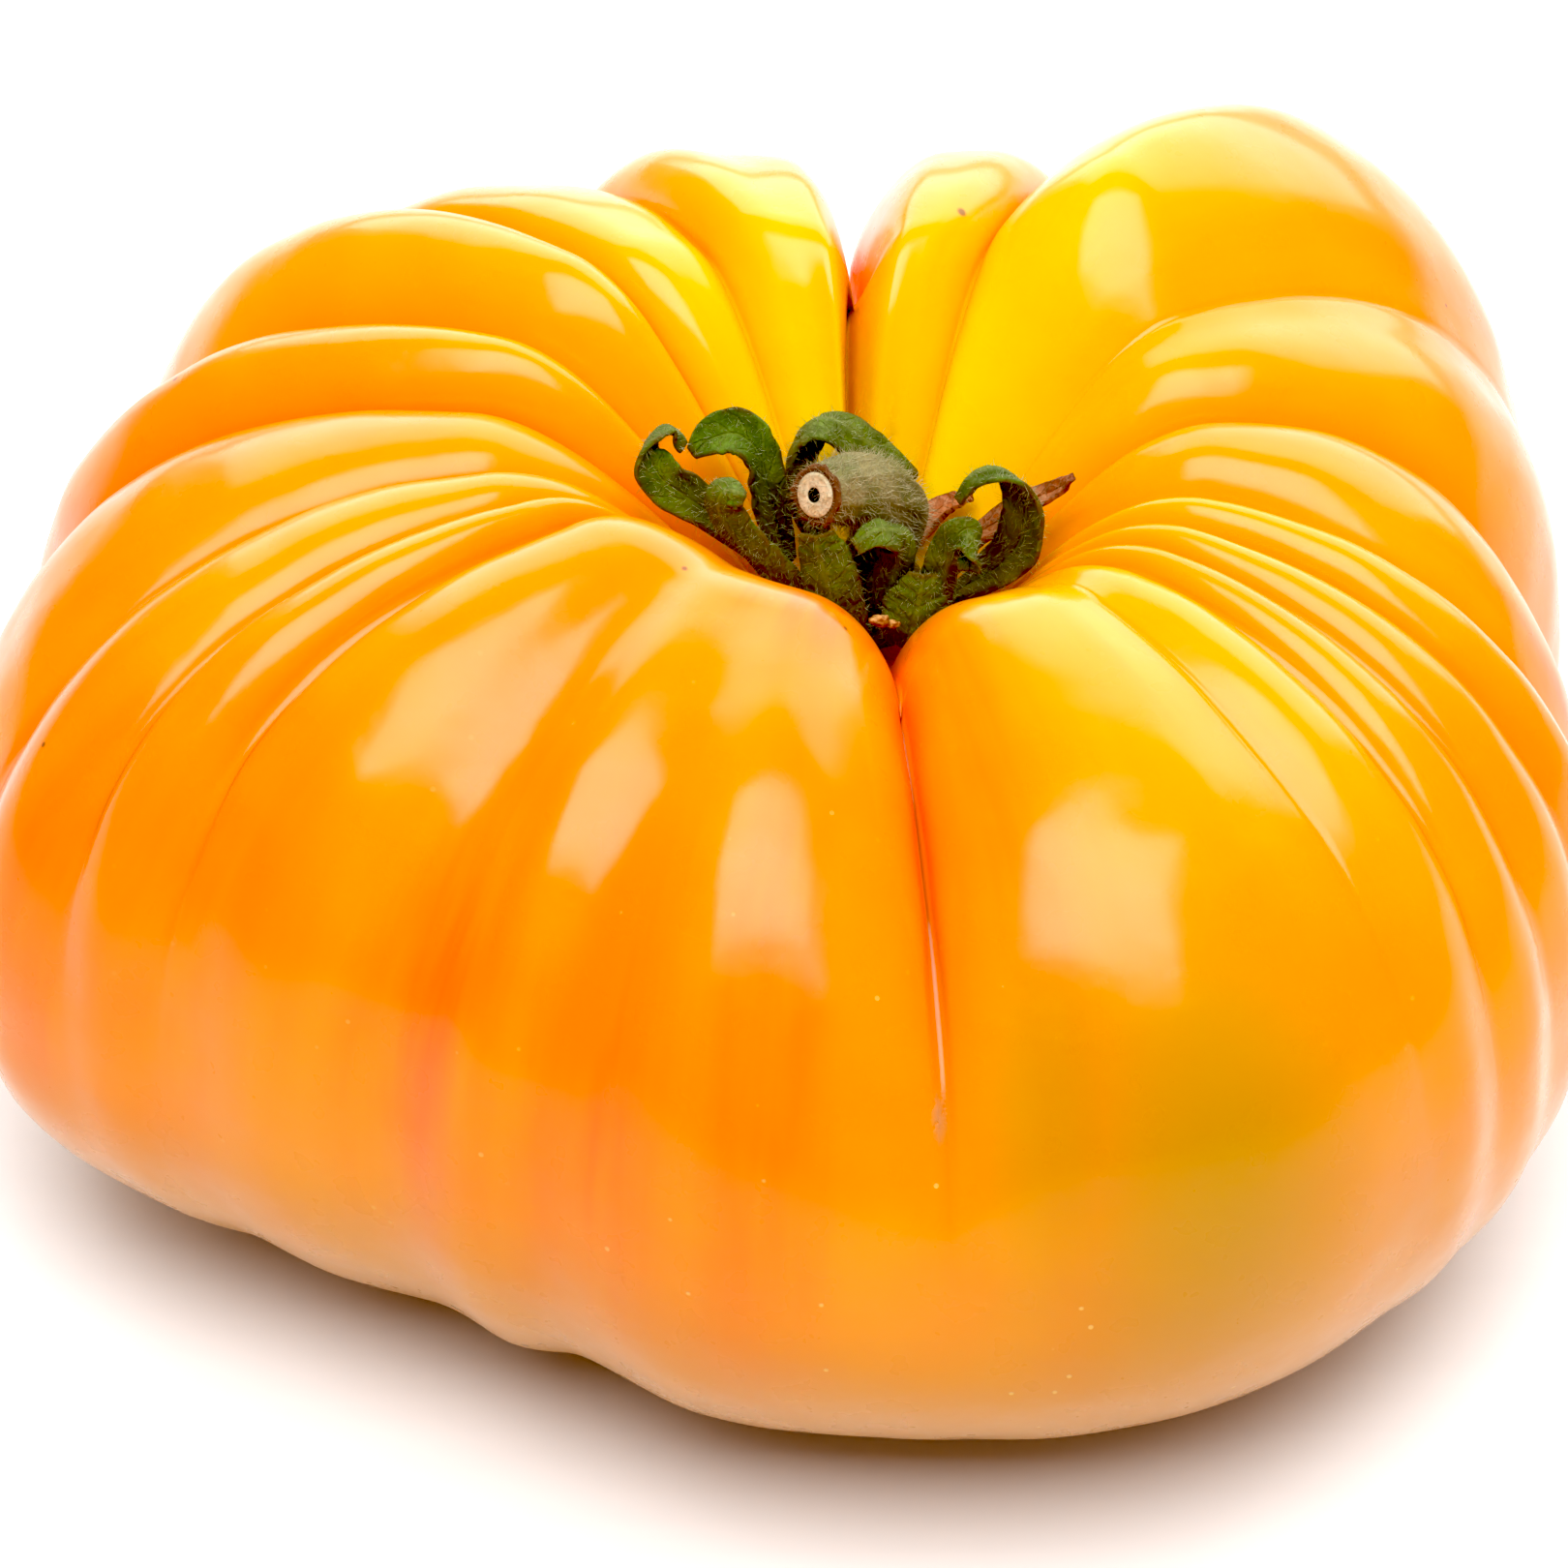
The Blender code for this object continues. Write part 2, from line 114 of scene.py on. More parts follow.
def smooth_path(points: list[tuple], count: int) -> np.ndarray:
    """Return samples of a Catmull-Rom curve through rows of numbers.

    Args:
        points: rows of the same length, the first three being a place.
        count: how many samples to take, both ends included.

    Returns:
        One row of numbers for each sample.
    """
    rows = np.array(points, float)
    ends = [2 * rows[0] - rows[1], *rows, 2 * rows[-1] - rows[-2]]
    samples = []
    for place in np.linspace(0, len(rows) - 1, count):
        index = min(int(place), len(rows) - 2)
        t = place - index
        a, b, c, d = ends[index:index + 4]
        samples.append(0.5 * (2 * b + (c - a) * t + (2 * a - 5 * b + 4 * c - d) * t ** 2
                              + (3 * b - a - 3 * c + d) * t ** 3))
    return np.array(samples)


def stem_foot() -> Vector:
    """Return the foot of the stem, on the pit floor, from the CAD disc that stands on it."""
    low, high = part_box("calyx_base")
    return Vector(((low.x + high.x) / 2, (low.y + high.y) / 2, low.z - CalyxBase.underside * MM))


def link_piece(name: str, mesh: bpy.types.Mesh) -> bpy.types.Object:
    """Put a mesh in the scene as a smooth-shaded object at the origin.

    Args:
        name: the object's name.
        mesh: its mesh, in metres.

    Returns:
        The object.
    """
    mesh.shade_smooth()
    piece = bpy.data.objects.new(name, mesh)
    bpy.context.scene.collection.objects.link(piece)
    return piece


def register(piece: bpy.types.Object, slot: Slot, *nodes: str) -> bpy.types.Object:
    """Parent a finished piece to the root body, hide the CAD nodes that it stands for and log its slot.

    Args:
        piece: the finished object.
        slot: the record's material slot, which is only logged.
        nodes: the CAD nodes that it stands for, if any.

    Returns:
        The same piece.
    """
    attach(piece, "root")
    if nodes:
        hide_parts(*nodes)
    LOG.info("%s: %d faces, slot %s", piece.name, len(piece.data.polygons), slot.value)
    return piece


def ball_grid(name: str, rows: int, columns: int) -> tuple[bpy.types.Mesh, np.ndarray, np.ndarray]:
    """Make a sphere whose vertices can be moved row by row and column by column.

    Args:
        name: the mesh's name.
        rows: bands from the top pole to the bottom pole.
        columns: segments round it.

    Returns:
        The mesh, and the row and column number of each vertex.
    """
    ball = bmesh.new()
    bmesh.ops.create_uvsphere(ball, u_segments=columns, v_segments=rows, radius=1.0)

    def number(face: bmesh.types.BMFace) -> int:
        """Return a face's number, row by row, so that the faces are in one order on every run."""
        middle = face.calc_center_median()
        band = math.floor(math.acos(middle.z / middle.length) / math.pi * rows)
        segment = math.floor(math.atan2(middle.y, middle.x) / math.tau * columns)
        return band * columns + segment % columns

    ball.faces.sort(key=number)
    mesh = bpy.data.meshes.new(name)
    ball.to_mesh(mesh)
    ball.free()
    places = np.zeros(len(mesh.vertices) * 3, np.float32)
    mesh.vertices.foreach_get("co", places)
    places = places.reshape(-1, 3).astype(float)
    row = np.rint(np.arccos(np.clip(places[:, 2], -1, 1)) / math.pi * rows).astype(int)
    column = np.rint(np.arctan2(places[:, 1], places[:, 0]) / math.tau * columns).astype(int) % columns
    column[(row == 0) | (row == rows)] = 0
    return mesh, row, column


def move_vertices(mesh: bpy.types.Mesh, places: np.ndarray) -> None:
    """Give every vertex of a mesh its new place, in metres."""
    mesh.vertices.foreach_set("co", places.astype(np.float32).ravel())
    mesh.update()


def vertex_normals(mesh: bpy.types.Mesh) -> np.ndarray:
    """Read the unit normal at each vertex.

    Args:
        mesh: the mesh to read.

    Returns:
        One row of three numbers for each vertex.
    """
    normals = np.zeros(len(mesh.vertices) * 3, np.float32)
    mesh.vertices.foreach_get("normal", normals)
    return normals.reshape(-1, 3)


def paint(mesh: bpy.types.Mesh, name: str, values: np.ndarray) -> None:
    """Store one number, or one vector, for each vertex.

    Args:
        mesh: the mesh to paint.
        name: the name that finishes read it by.
        values: one number or one row of three numbers for each vertex.
    """
    kind = "FLOAT" if values.ndim == 1 else "FLOAT_VECTOR"
    layer = mesh.attributes.new(name, kind, "POINT")
    key = "value" if values.ndim == 1 else "vector"
    layer.data.foreach_set(key, values.astype(np.float32).ravel())


def ripple(places: np.ndarray, size: float, seed: float) -> np.ndarray:
    """Return smooth noise from -1 to 1 at places in millimetres, with bumps of about that size."""
    return np.array([noise.noise(Vector(place) / size + Vector((seed, seed, seed))) for place in places])


# Finishes -----------------------------------------------------------------------------------


class NodeSheet:
    """The nodes of one material, with short methods for the ones that finishes use."""

    def __init__(self, name: str) -> None:
        """Start a material with its Principled BSDF."""
        self.material = bpy.data.materials.new(name)
        self.material.use_nodes = True
        self.tree = self.material.node_tree
        self.shader = self.tree.nodes["Principled BSDF"]

    def add(self, kind: str, **settings: object) -> bpy.types.Node:
        """Add a node.

        Args:
            kind: the node's type.
            settings: its properties, by name.

        Returns:
            The node.
        """
        node = self.tree.nodes.new(kind)
        for key, value in settings.items():
            setattr(node, key, value)
        return node

    def feed(self, socket: bpy.types.NodeSocket, value: object) -> None:
        """Link an output to a socket, or set the socket where the value is a plain one."""
        if isinstance(value, bpy.types.NodeSocket):
            self.tree.links.new(value, socket)
        else:
            socket.default_value = value

    def object_place(self) -> bpy.types.NodeSocket:
        """Return the surface's place, in metres."""
        return self.add("ShaderNodeTexCoord").outputs["Object"]

    def attribute(self, name: str) -> bpy.types.NodeSocket:
        """Return a painted number."""
        return self.add("ShaderNodeAttribute", attribute_name=name).outputs["Fac"]

    def painted_vector(self, name: str) -> bpy.types.NodeSocket:
        """Return a painted vector."""
        return self.add("ShaderNodeAttribute", attribute_name=name).outputs["Vector"]

    def noise(self, place: object, scale: float, detail: float = 3.0,
              roughness: float = 0.5) -> bpy.types.NodeSocket:
        """Make smooth noise from 0 to 1.

        Args:
            place: where it is read, in metres.
            scale: about how many bumps there are to a metre.
            detail: how many finer layers are added.
            roughness: how strong the finer layers are.

        Returns:
            The noise.
        """
        node = self.add("ShaderNodeTexNoise")
        self.feed(node.inputs["Vector"], place)
        node.inputs["Scale"].default_value = scale
        node.inputs["Detail"].default_value = detail
        node.inputs["Roughness"].default_value = roughness
        return node.outputs["Fac"]

    def cells(self, place: object, scale: float) -> bpy.types.Node:
        """Add a Voronoi node, for dots and cells.

        Args:
            place: where it is read, in metres.
            scale: about how many cells there are to a metre.

        Returns:
            The node.
        """
        node = self.add("ShaderNodeTexVoronoi")
        self.feed(node.inputs["Vector"], place)
        node.inputs["Scale"].default_value = scale
        return node

    def range(self, value: object, low: float, high: float, start: float = 0.0,
              end: float = 1.0) -> bpy.types.NodeSocket:
        """Map a value smoothly from one range to another.

        Args:
            value: the value or socket to map.
            low: the value that gives start.
            high: the value that gives end.
            start: the result at low and below.
            end: the result at high and above.

        Returns:
            The mapped value.
        """
        node = self.add("ShaderNodeMapRange", interpolation_type="SMOOTHSTEP")
        self.feed(node.inputs["Value"], value)
        node.inputs["From Min"].default_value = low
        node.inputs["From Max"].default_value = high
        node.inputs["To Min"].default_value = start
        node.inputs["To Max"].default_value = end
        return node.outputs["Result"]

    def math(self, operation: str, first: object, second: object = 0.0) -> bpy.types.NodeSocket:
        """Add a Math node.

        Args:
            operation: the sum's name.
            first: its first number or socket.
            second: its second number or socket.

        Returns:
            The result.
        """
        node = self.add("ShaderNodeMath", operation=operation)
        self.feed(node.inputs[0], first)
        self.feed(node.inputs[1], second)
        return node.outputs["Value"]

    def times(self, first: object, second: object) -> bpy.types.NodeSocket:
        """Multiply two values and keep the result between 0 and 1.

        Args:
            first: a number or socket.
            second: a number or socket.

        Returns:
            The product.
        """
        node = self.add("ShaderNodeMath", operation="MULTIPLY", use_clamp=True)
        self.feed(node.inputs[0], first)
        self.feed(node.inputs[1], second)
        return node.outputs["Value"]

    def blend(self, amount: object, first: object, second: object) -> bpy.types.NodeSocket:
        """Blend two colours.

        Args:
            amount: how much of the second shows, from 0 to 1.
            first: the colour underneath.
            second: the colour on top.

        Returns:
            The blended colour.
        """
        node = self.add("ShaderNodeMix", data_type="RGBA", clamp_factor=True)
        self.feed(node.inputs["Factor"], amount)
        self.feed(node.inputs[6], first)
        self.feed(node.inputs[7], second)
        return node.outputs[2]

    def stretch(self, place: object, scale: tuple[float, float, float]) -> bpy.types.NodeSocket:
        """Scale a place along each axis.

        Args:
            place: the place to scale.
            scale: the factor for each axis.

        Returns:
            The scaled place.
        """
        node = self.add("ShaderNodeMapping")
        self.feed(node.inputs["Vector"], place)
        node.inputs["Scale"].default_value = scale
        return node.outputs["Vector"]

    def spot(self, place: object, centre: Vector, radius: float, edge: float) -> bpy.types.NodeSocket:
        """Mark the inside of a small ball.

        Args:
            place: the surface's place.
            centre: the middle of the ball, in metres.
            radius: the ball's radius, in metres.
            edge: half the width of its soft edge, in metres.

        Returns:
            1 inside the ball and 0 outside it.
        """
        node = self.add("ShaderNodeVectorMath", operation="DISTANCE")
        self.feed(node.inputs[0], place)
        node.inputs[1].default_value = centre
        return self.range(node.outputs["Value"], radius - edge, radius + edge, 1.0, 0.0)

    def bumps(self, heights: list[tuple[object, float]]) -> None:
        """Link a chain of bumps to the shader.

        Args:
            heights: the height socket and the depth in millimetres of each bump.
        """
        last = None
        for height, depth in heights:
            node = self.add("ShaderNodeBump")
            node.inputs["Distance"].default_value = depth * MM
            self.feed(node.inputs["Height"], height)
            if last:
                self.feed(node.inputs["Normal"], last)
            last = node.outputs["Normal"]
        self.feed(self.shader.inputs["Normal"], last)

    def finish(self, colour: object, roughness: object, **uniform: object) -> bpy.types.Material:
        """Feed the shader and return the material.

        Args:
            colour: the base colour or the socket that gives it.
            roughness: the roughness or the socket that gives it.
            uniform: other inputs, by name with underscores for spaces, set on the shader itself.

        Returns:
            The finished material.
        """
        self.feed(self.shader.inputs["Base Color"], colour)
        self.feed(self.shader.inputs["Roughness"], roughness)
        for name, value in uniform.items():
            self.shader.inputs[name.replace("_", " ")].default_value = value
        return self.material


@dataclass(frozen=True)
class SkinFinish:
    """Glossy ripe skin: mottled orange to yellow, with painted shade deeper in the creases and painted shade
    with a painted floor reflection, paler and pinker, underneath.
    """

    orange: tuple = (0.93, 0.255, 0.0, 1.0)
    yellow: tuple = (0.95, 0.42, 0.0, 1.0)
    # The pit's yellow pushed paler: painted light on the back pit wall.
    lemon_pit_light: tuple = (0.96, 0.66, 0.0, 1.0)
    deep: tuple = (0.93, 0.125, 0.0, 1.0)
    ochre: tuple = (0.50, 0.25, 0.0, 1.0)
    # Painted shade with a painted floor reflection, for the underside.
    underside_shade_and_reflection: tuple = (0.60, 0.27, 0.05, 1.0)
    # Painted shade for the dark line down the front crease.
    crease_line_shade: tuple = (0.52, 0.07, 0.0, 1.0)
    pore: tuple = srgb(255, 214, 120)
    speck: tuple = srgb(105, 55, 12)
    cork: tuple = srgb(205, 140, 95)

    def make(self, specks: list[tuple[Vector, float]]) -> bpy.types.Material:
        """Make the skin's material.

        Args:
            specks: the place, in metres, and radius, in millimetres, of each brown speck.

        Returns:
            The material.
        """
        sheet = NodeSheet("ripe_skin")
        place = sheet.object_place()
        grain = sheet.painted_vector("grain")
        broad = sheet.range(sheet.noise(place, 55, 2), 0.32, 0.68)
        streak = sheet.range(sheet.noise(grain, 9, 4), 0.35, 0.7)
        fine_streak = sheet.noise(grain, 26, 3)
        crease = sheet.attribute("crease")

        colour = sheet.blend(sheet.times(broad, 0.35), self.orange, self.yellow)
        colour = sheet.blend(sheet.times(fine_streak, 0.15), colour, self.orange)
        streaky = sheet.range(fine_streak, 0.1, 0.6, 0.7, 1.0)
        yellow = sheet.math("MULTIPLY", sheet.attribute("yellow"), streaky)
        colour = sheet.blend(yellow, colour, self.yellow)
        # Painted light on the back pit wall: the pit's own yellow is pushed to pale lemon.
        colour = sheet.blend(sheet.attribute("lemon_pit_light"), colour, self.lemon_pit_light)
        deep = sheet.math("MULTIPLY", sheet.attribute("deep"), sheet.math("ADD", streak, 0.35))
        colour = sheet.blend(deep, colour, self.deep)
        # Painted shade in the creases: the colour darkens toward deep orange near each crease.
        colour = sheet.blend(sheet.times(crease, 0.45), colour, self.deep)
        # The crease line is painted shade, and the underside tint is painted shade with a painted floor
        # reflection.
        for tint, stain in (("crease_line_shade", self.crease_line_shade), ("ochre", self.ochre), ("underside_shade_and_reflection", self.underside_shade_and_reflection)):
            colour = sheet.blend(sheet.attribute(tint), colour, stain)

        pores = sheet.cells(place, 420)
        lone = sheet.range(sheet.math("ADD", pores.outputs["Color"], 0.0), 0.55, 0.65)
        dots = sheet.times(sheet.range(pores.outputs["Distance"], 0.05, 0.1, 1.0, 0.0), lone)
        dots = sheet.times(dots, sheet.attribute("pores"))
        colour = sheet.blend(sheet.times(dots, 0.5), colour, self.pore)
        scab = sheet.range(sheet.noise(place, 1400, 4, 0.7), 0.3, 0.55)
        cork = sheet.times(sheet.attribute("cork"), scab)
        colour = sheet.blend(sheet.times(cork, 0.85), colour, self.cork)
        for centre, radius in specks:
            dot = sheet.spot(place, centre, radius * MM, radius * 0.5 * MM)
            colour = sheet.blend(sheet.times(dot, 0.8), colour, self.speck)

        peel = sheet.noise(place, 900, 2)
        swell = sheet.noise(place, 130, 2)
        roughness = sheet.range(sheet.noise(place, 300, 3), 0.3, 0.7, 0.26, 0.34)
        sheet.bumps([(swell, 0.25), (peel, 0.02), (dots, -0.03), (cork, 0.08)])
        return sheet.finish(
            colour, roughness, Subsurface_Weight=0.12, Subsurface_Scale=0.004,
            Subsurface_Radius=(1.0, 0.35, 0.05), Specular_IOR_Level=0.26, Coat_Weight=0.55,
            Coat_Roughness=0.15, Coat_IOR=1.4)


@dataclass(frozen=True)
class LeafFinish:
    """Matt hairy calyx tissue with a pale midrib, side veins, brown edges and grey bloom."""

    name: str
    body: tuple
    shade: tuple
    vein: tuple
    bloom: tuple
    edge: tuple
    root: tuple = srgb(110, 86, 14)
    bloom_share: float = 0.35

    def make(self) -> bpy.types.Material:
        """Make the material, which reads the piece's own UV map along and across the sepal."""
        sheet = NodeSheet(self.name)
        place = sheet.object_place()
        parts = sheet.add("ShaderNodeSeparateXYZ")
        sheet.feed(parts.inputs[0], sheet.add("ShaderNodeUVMap", uv_map="UVMap").outputs["UV"])
        along, across = parts.outputs["X"], parts.outputs["Y"]
        off_middle = sheet.math("ABSOLUTE", sheet.math("SUBTRACT", across, 0.5))
        wobble = sheet.math("MULTIPLY", sheet.noise(place, 420, 3), 9.0)
        slant = sheet.math("MULTIPLY", off_middle, 14.0)
        phase = sheet.math("SUBTRACT", sheet.math("MULTIPLY", along, 46.0), slant)
        wave = sheet.math("SINE", sheet.math("ADD", phase, wobble))
        side_veins = sheet.range(wave, 0.55, 0.95)
        midrib = sheet.range(off_middle, 0.02, 0.08, 1.0, 0.0)
        veins = sheet.math("MAXIMUM", midrib, sheet.math("MULTIPLY", side_veins, 0.6))
        blotch = sheet.range(sheet.noise(place, 450, 4), 0.35, 0.65)
        fuzz = sheet.range(sheet.noise(place, 2600, 5, 0.7), 0.42, 0.62)

        colour = sheet.blend(blotch, self.shade, self.body)
        colour = sheet.blend(sheet.range(along, 0.1, 0.6, 0.85, 0.0), colour, self.root)
        colour = sheet.blend(sheet.times(veins, 0.35), colour, self.vein)
        colour = sheet.blend(sheet.times(fuzz, self.bloom_share), colour, self.bloom)
        near_edge = sheet.range(off_middle, 0.38, 0.5)
        worn = sheet.times(near_edge, sheet.range(sheet.noise(place, 700, 3), 0.45, 0.6))
        worn = sheet.math("MAXIMUM", worn, sheet.range(along, 0.93, 1.0))
        colour = sheet.blend(sheet.times(worn, 0.8), colour, self.edge)
        sheet.bumps([(veins, -0.12), (sheet.noise(place, 1100, 4), 0.15), (fuzz, 0.05)])
        roughness = sheet.range(fuzz, 0.0, 1.0, 0.62, 0.9)
        return sheet.finish(colour, roughness, Sheen_Weight=0.08, Sheen_Roughness=0.5,
                            Specular_IOR_Level=0.3, Sheen_Tint=srgb(210, 220, 180))


@dataclass(frozen=True)
class StubFinish:
    """The cut stem: grey-green hairy bark, a reddish torn collar and a cream cut face, with painted shade in
    its pith hole.
    """

    bark: tuple = srgb(150, 138, 90)
    green: tuple = srgb(112, 112, 56)
    olive: tuple = srgb(104, 84, 14)
    collar: tuple = srgb(124, 82, 50)
    cream: tuple = srgb(236, 222, 186)
    ring: tuple = srgb(206, 176, 120)
    # Painted shade for the inside of the pith hole.
    pith: tuple = srgb(40, 34, 10)
    down: tuple = srgb(184, 176, 136)

    def make(self) -> bpy.types.Material:
        """Make the material, which reads the painted parts of the stub."""
        sheet = NodeSheet("stem_bark")
        place = sheet.object_place()
        blotch = sheet.range(sheet.noise(place, 380, 4), 0.35, 0.65)
        fuzz = sheet.range(sheet.noise(place, 2400, 5, 0.7), 0.42, 0.62)
        colour = sheet.blend(blotch, self.green, self.bark)
        colour = sheet.blend(sheet.attribute("low"), colour, self.olive)
        colour = sheet.blend(sheet.times(fuzz, 0.3), colour, self.down)
        fray = sheet.math("MULTIPLY", sheet.noise(place, 900, 3), 0.6)
        ragged = sheet.math("ADD", sheet.attribute("collar"), fray)
        colour = sheet.blend(sheet.range(ragged, 0.75, 1.1), colour, self.collar)
        cut = sheet.attribute("cut")
        face = sheet.blend(sheet.noise(place, 2000, 3), self.cream, self.ring)
        face = sheet.blend(sheet.range(sheet.noise(place, 900, 2), 0.35, 0.6), face, self.cream)
        colour = sheet.blend(sheet.range(cut, 0.4, 0.6), colour, face)
        # Painted shade: the pith hole and its walls are painted near black.
        colour = sheet.blend(sheet.range(sheet.attribute("hole"), 0.3, 0.7), colour, self.pith)
        sheet.bumps([(sheet.noise(place, 700, 4), 0.2), (fuzz, 0.06)])
        return sheet.finish(colour, sheet.range(fuzz, 0.0, 1.0, 0.65, 0.9), Sheen_Weight=0.08,
                            Sheen_Roughness=0.5, Specular_IOR_Level=0.3)


@dataclass(frozen=True)
class FibreFinish:
    """Thin dry tissue or hair: two colours mixed in fine streaks."""

    name: str
    light: tuple
    dark: tuple
    scale: float = 900.0
    roughness: float = 0.7

    def make(self) -> bpy.types.Material:
        """Make the material."""
        sheet = NodeSheet(self.name)
        place = sheet.object_place()
        streak = sheet.range(sheet.noise(place, self.scale, 4, 0.6), 0.35, 0.65)
        colour = sheet.blend(streak, self.dark, self.light)
        sheet.bumps([(streak, 0.05)])
        return sheet.finish(colour, sheet.range(streak, 0.0, 1.0, self.roughness - 0.1, self.roughness + 0.1),
                            Specular_IOR_Level=0.3)


@dataclass(frozen=True)
class FloorFinish:
    """A white matt table top with a faint grain."""

    white: tuple = (0.93, 0.925, 0.93, 1.0)
    grain: tuple = (0.90, 0.895, 0.90, 1.0)

    def make(self) -> bpy.types.Material:
        """Make the material."""
        sheet = NodeSheet("pale_floor")
        place = sheet.object_place()
        colour = sheet.blend(sheet.noise(sheet.stretch(place, (30, 400, 30)), 1, 3), self.white, self.grain)
        return sheet.finish(colour, 0.6, Specular_IOR_Level=0.2)


# The fruit ----------------------------------------------------------------------------------


@dataclass(frozen=True)
class RibPoint:
    """One bearing of the outline: reach from the stem axis, and the crest's height and radius."""

    bearing: float
    reach: float
    crest_height: float
    crest_radius: float


@dataclass(frozen=True)
class Crease:
    """A fold between two ribs.

    Reach is the half width of the round beside it, in degrees. It turns by stem_turn at the pit
    floor and by belly_turn at the belly. Under is the share of the depth that is left below the
    belly, and softness 1 makes a soft wave of it.
    """

    bearing: float
    depth: float
    reach: float
    stem_turn: float
    belly_turn: float
    under: float
    softness: float


@dataclass(frozen=True)
class Patch:
    """A soft patch of tint: where it is, how far it spreads, and how strong it is."""

    tint: str
    bearing: float
    station: float
    width: float
    length: float
    strength: float


@dataclass(frozen=True)
class Speck:
    """A small brown dot on the skin."""

    bearing: float
    station: float
    radius: float


OUTLINE = [RibPoint(*row) for row in (
    (-125, 53, 59, 22), (-110, 54, 59, 22), (-84, 57, 57, 21), (-60, 58.6, 58, 23),
    (-40, 57.5, 58, 24), (-20, 55, 58, 24), (0, 51, 59, 24), (22, 56, 60, 25),
    (48, 65, 68, 28), (66, 52, 63, 24), (80, 51, 63, 20), (92, 49, 62, 18),
    (106, 53, 63, 22), (125, 57, 61, 25), (142, 65, 63, 27), (158, 64, 61, 28),
    (180, 65, 59, 29), (200, 67, 60, 27), (218, 58, 61, 24),
)]

CREASES = [Crease(*row) for row in (
    (-171, 4.0, 9, -4, 7, 0.05, 0.0), (-159, 3.0, 6, -8, 7, 0.05, 0.0),
    (-151, 4.0, 9, -12, 5, 0.05, 0.0), (-129, 1.3, 10, -6, 0, 0.3, 1.0),
    (-112, 1.3, 11, -2, -3, 0.9, 1.0), (-85, 8.0, 19, 0, 0, 0.05, 0.0),
    (-50, 1.5, 9, 8, 0, 0.1, 0.5), (-38, 2.5, 8, 0, -4, 0.1, 0.0),
    (-31, 2.5, 7, 0, -3, 0.1, 0.0), (-23, 3.5, 7, -2, -1, 0.1, 0.0),
    (-14, 5.0, 9, -2, 0, 0.15, 0.0), (8, 6.0, 11, 0, -3, 0.25, 0.0),
    (27, 1.2, 8, 2, 0, 0.3, 0.3), (46, 1.0, 12, 0, 0, 0.3, 1.0),
    (67, 5.0, 9, 2, 0, 0.4, 0.0), (92, 11.0, 12, 8, 0, 0.4, 0.0),
    (106, 1.0, 8, 0, 0, 0.4, 1.0), (119, 4.0, 9, 0, 0, 0.4, 0.0),
    (138, 5.0, 9, 0, 0, 0.4, 0.0), (157, 6.0, 11, 0, 0, 0.4, 0.0),
    (171, 5.0, 10, -2, 0, 0.4, 0.0),
)]

PATCHES = [Patch(*row) for row in (
    # The first four rows give the back pit wall its own yellow, pushed lighter as painted light, most by the
    # lemon rows.
    ("yellow", 112, 0.6, 40, 0.6, 1.0), ("yellow", 60, 0.6, 44, 0.6, 1.0),
    ("lemon_pit_light", 112, 0.4, 26, 0.5, 1.0), ("lemon_pit_light", 60, 0.4, 34, 0.5, 1.0),
    ("yellow", 20, 0.8, 24, 0.5, 0.6), ("yellow", 150, 0.7, 26, 0.4, 0.6),
    ("yellow", -50, 1.0, 20, 0.5, 0.8), ("yellow", -20, 1.0, 18, 0.5, 0.7),
    ("yellow", 122, 1.2, 10, 0.5, 0.7), ("yellow", -64, 1.3, 12, 0.4, 0.4),
    ("deep", -112, 1.75, 6, 0.4, 0.8), ("deep", -126, 1.7, 7, 0.4, 0.7),
    ("deep", -98, 1.7, 5, 0.5, 0.5), ("deep", -155, 1.8, 16, 0.4, 0.6),
    ("deep", -100, 0.9, 18, 0.16, 0.6), ("deep", -78, 1.2, 8, 0.8, 0.4),
    ("deep", 178, 1.9, 14, 0.5, 0.5), ("deep", 92, 1.3, 10, 0.5, 0.15),
    ("deep", -10, 2.0, 14, 0.6, 0.6), ("deep", 25, 1.9, 16, 0.5, 0.4),
    ("ochre", -77, 1.7, 7, 0.4, 0.65), ("ochre", -67, 1.85, 12, 0.45, 0.85),
    ("ochre", -54, 2.05, 13, 0.35, 0.3),
    # A dark line down the lower front crease: painted shade.
    ("crease_line_shade", -85, 1.4, 0.6, 0.3, 0.7),
    ("pores", -90, 2.0, 42, 0.8, 1.0), ("pores", 100, 2.0, 40, 0.8, 0.6),
    ("cork", 80, 0.36, 2.6, 0.13, 1.0), ("cork", -85.5, 1.7, 0.5, 0.04, 1.0),
)]
TINTS = ("yellow", "lemon_pit_light", "crease_line_shade", "deep", "ochre", "pores", "cork")

SPECKS = [Speck(*row) for row in (
    (72, 1.0, 0.35), (164, 1.45, 0.25), (-128, 0.95, 0.22), (-150, 2.35, 0.3), (-120, 2.4, 0.28),
    (-143, 2.45, 0.16), (-60, 2.45, 0.16), (-95, 0.97, 0.18), (30, 1.5, 0.2), (200, 1.6, 0.2),
)]


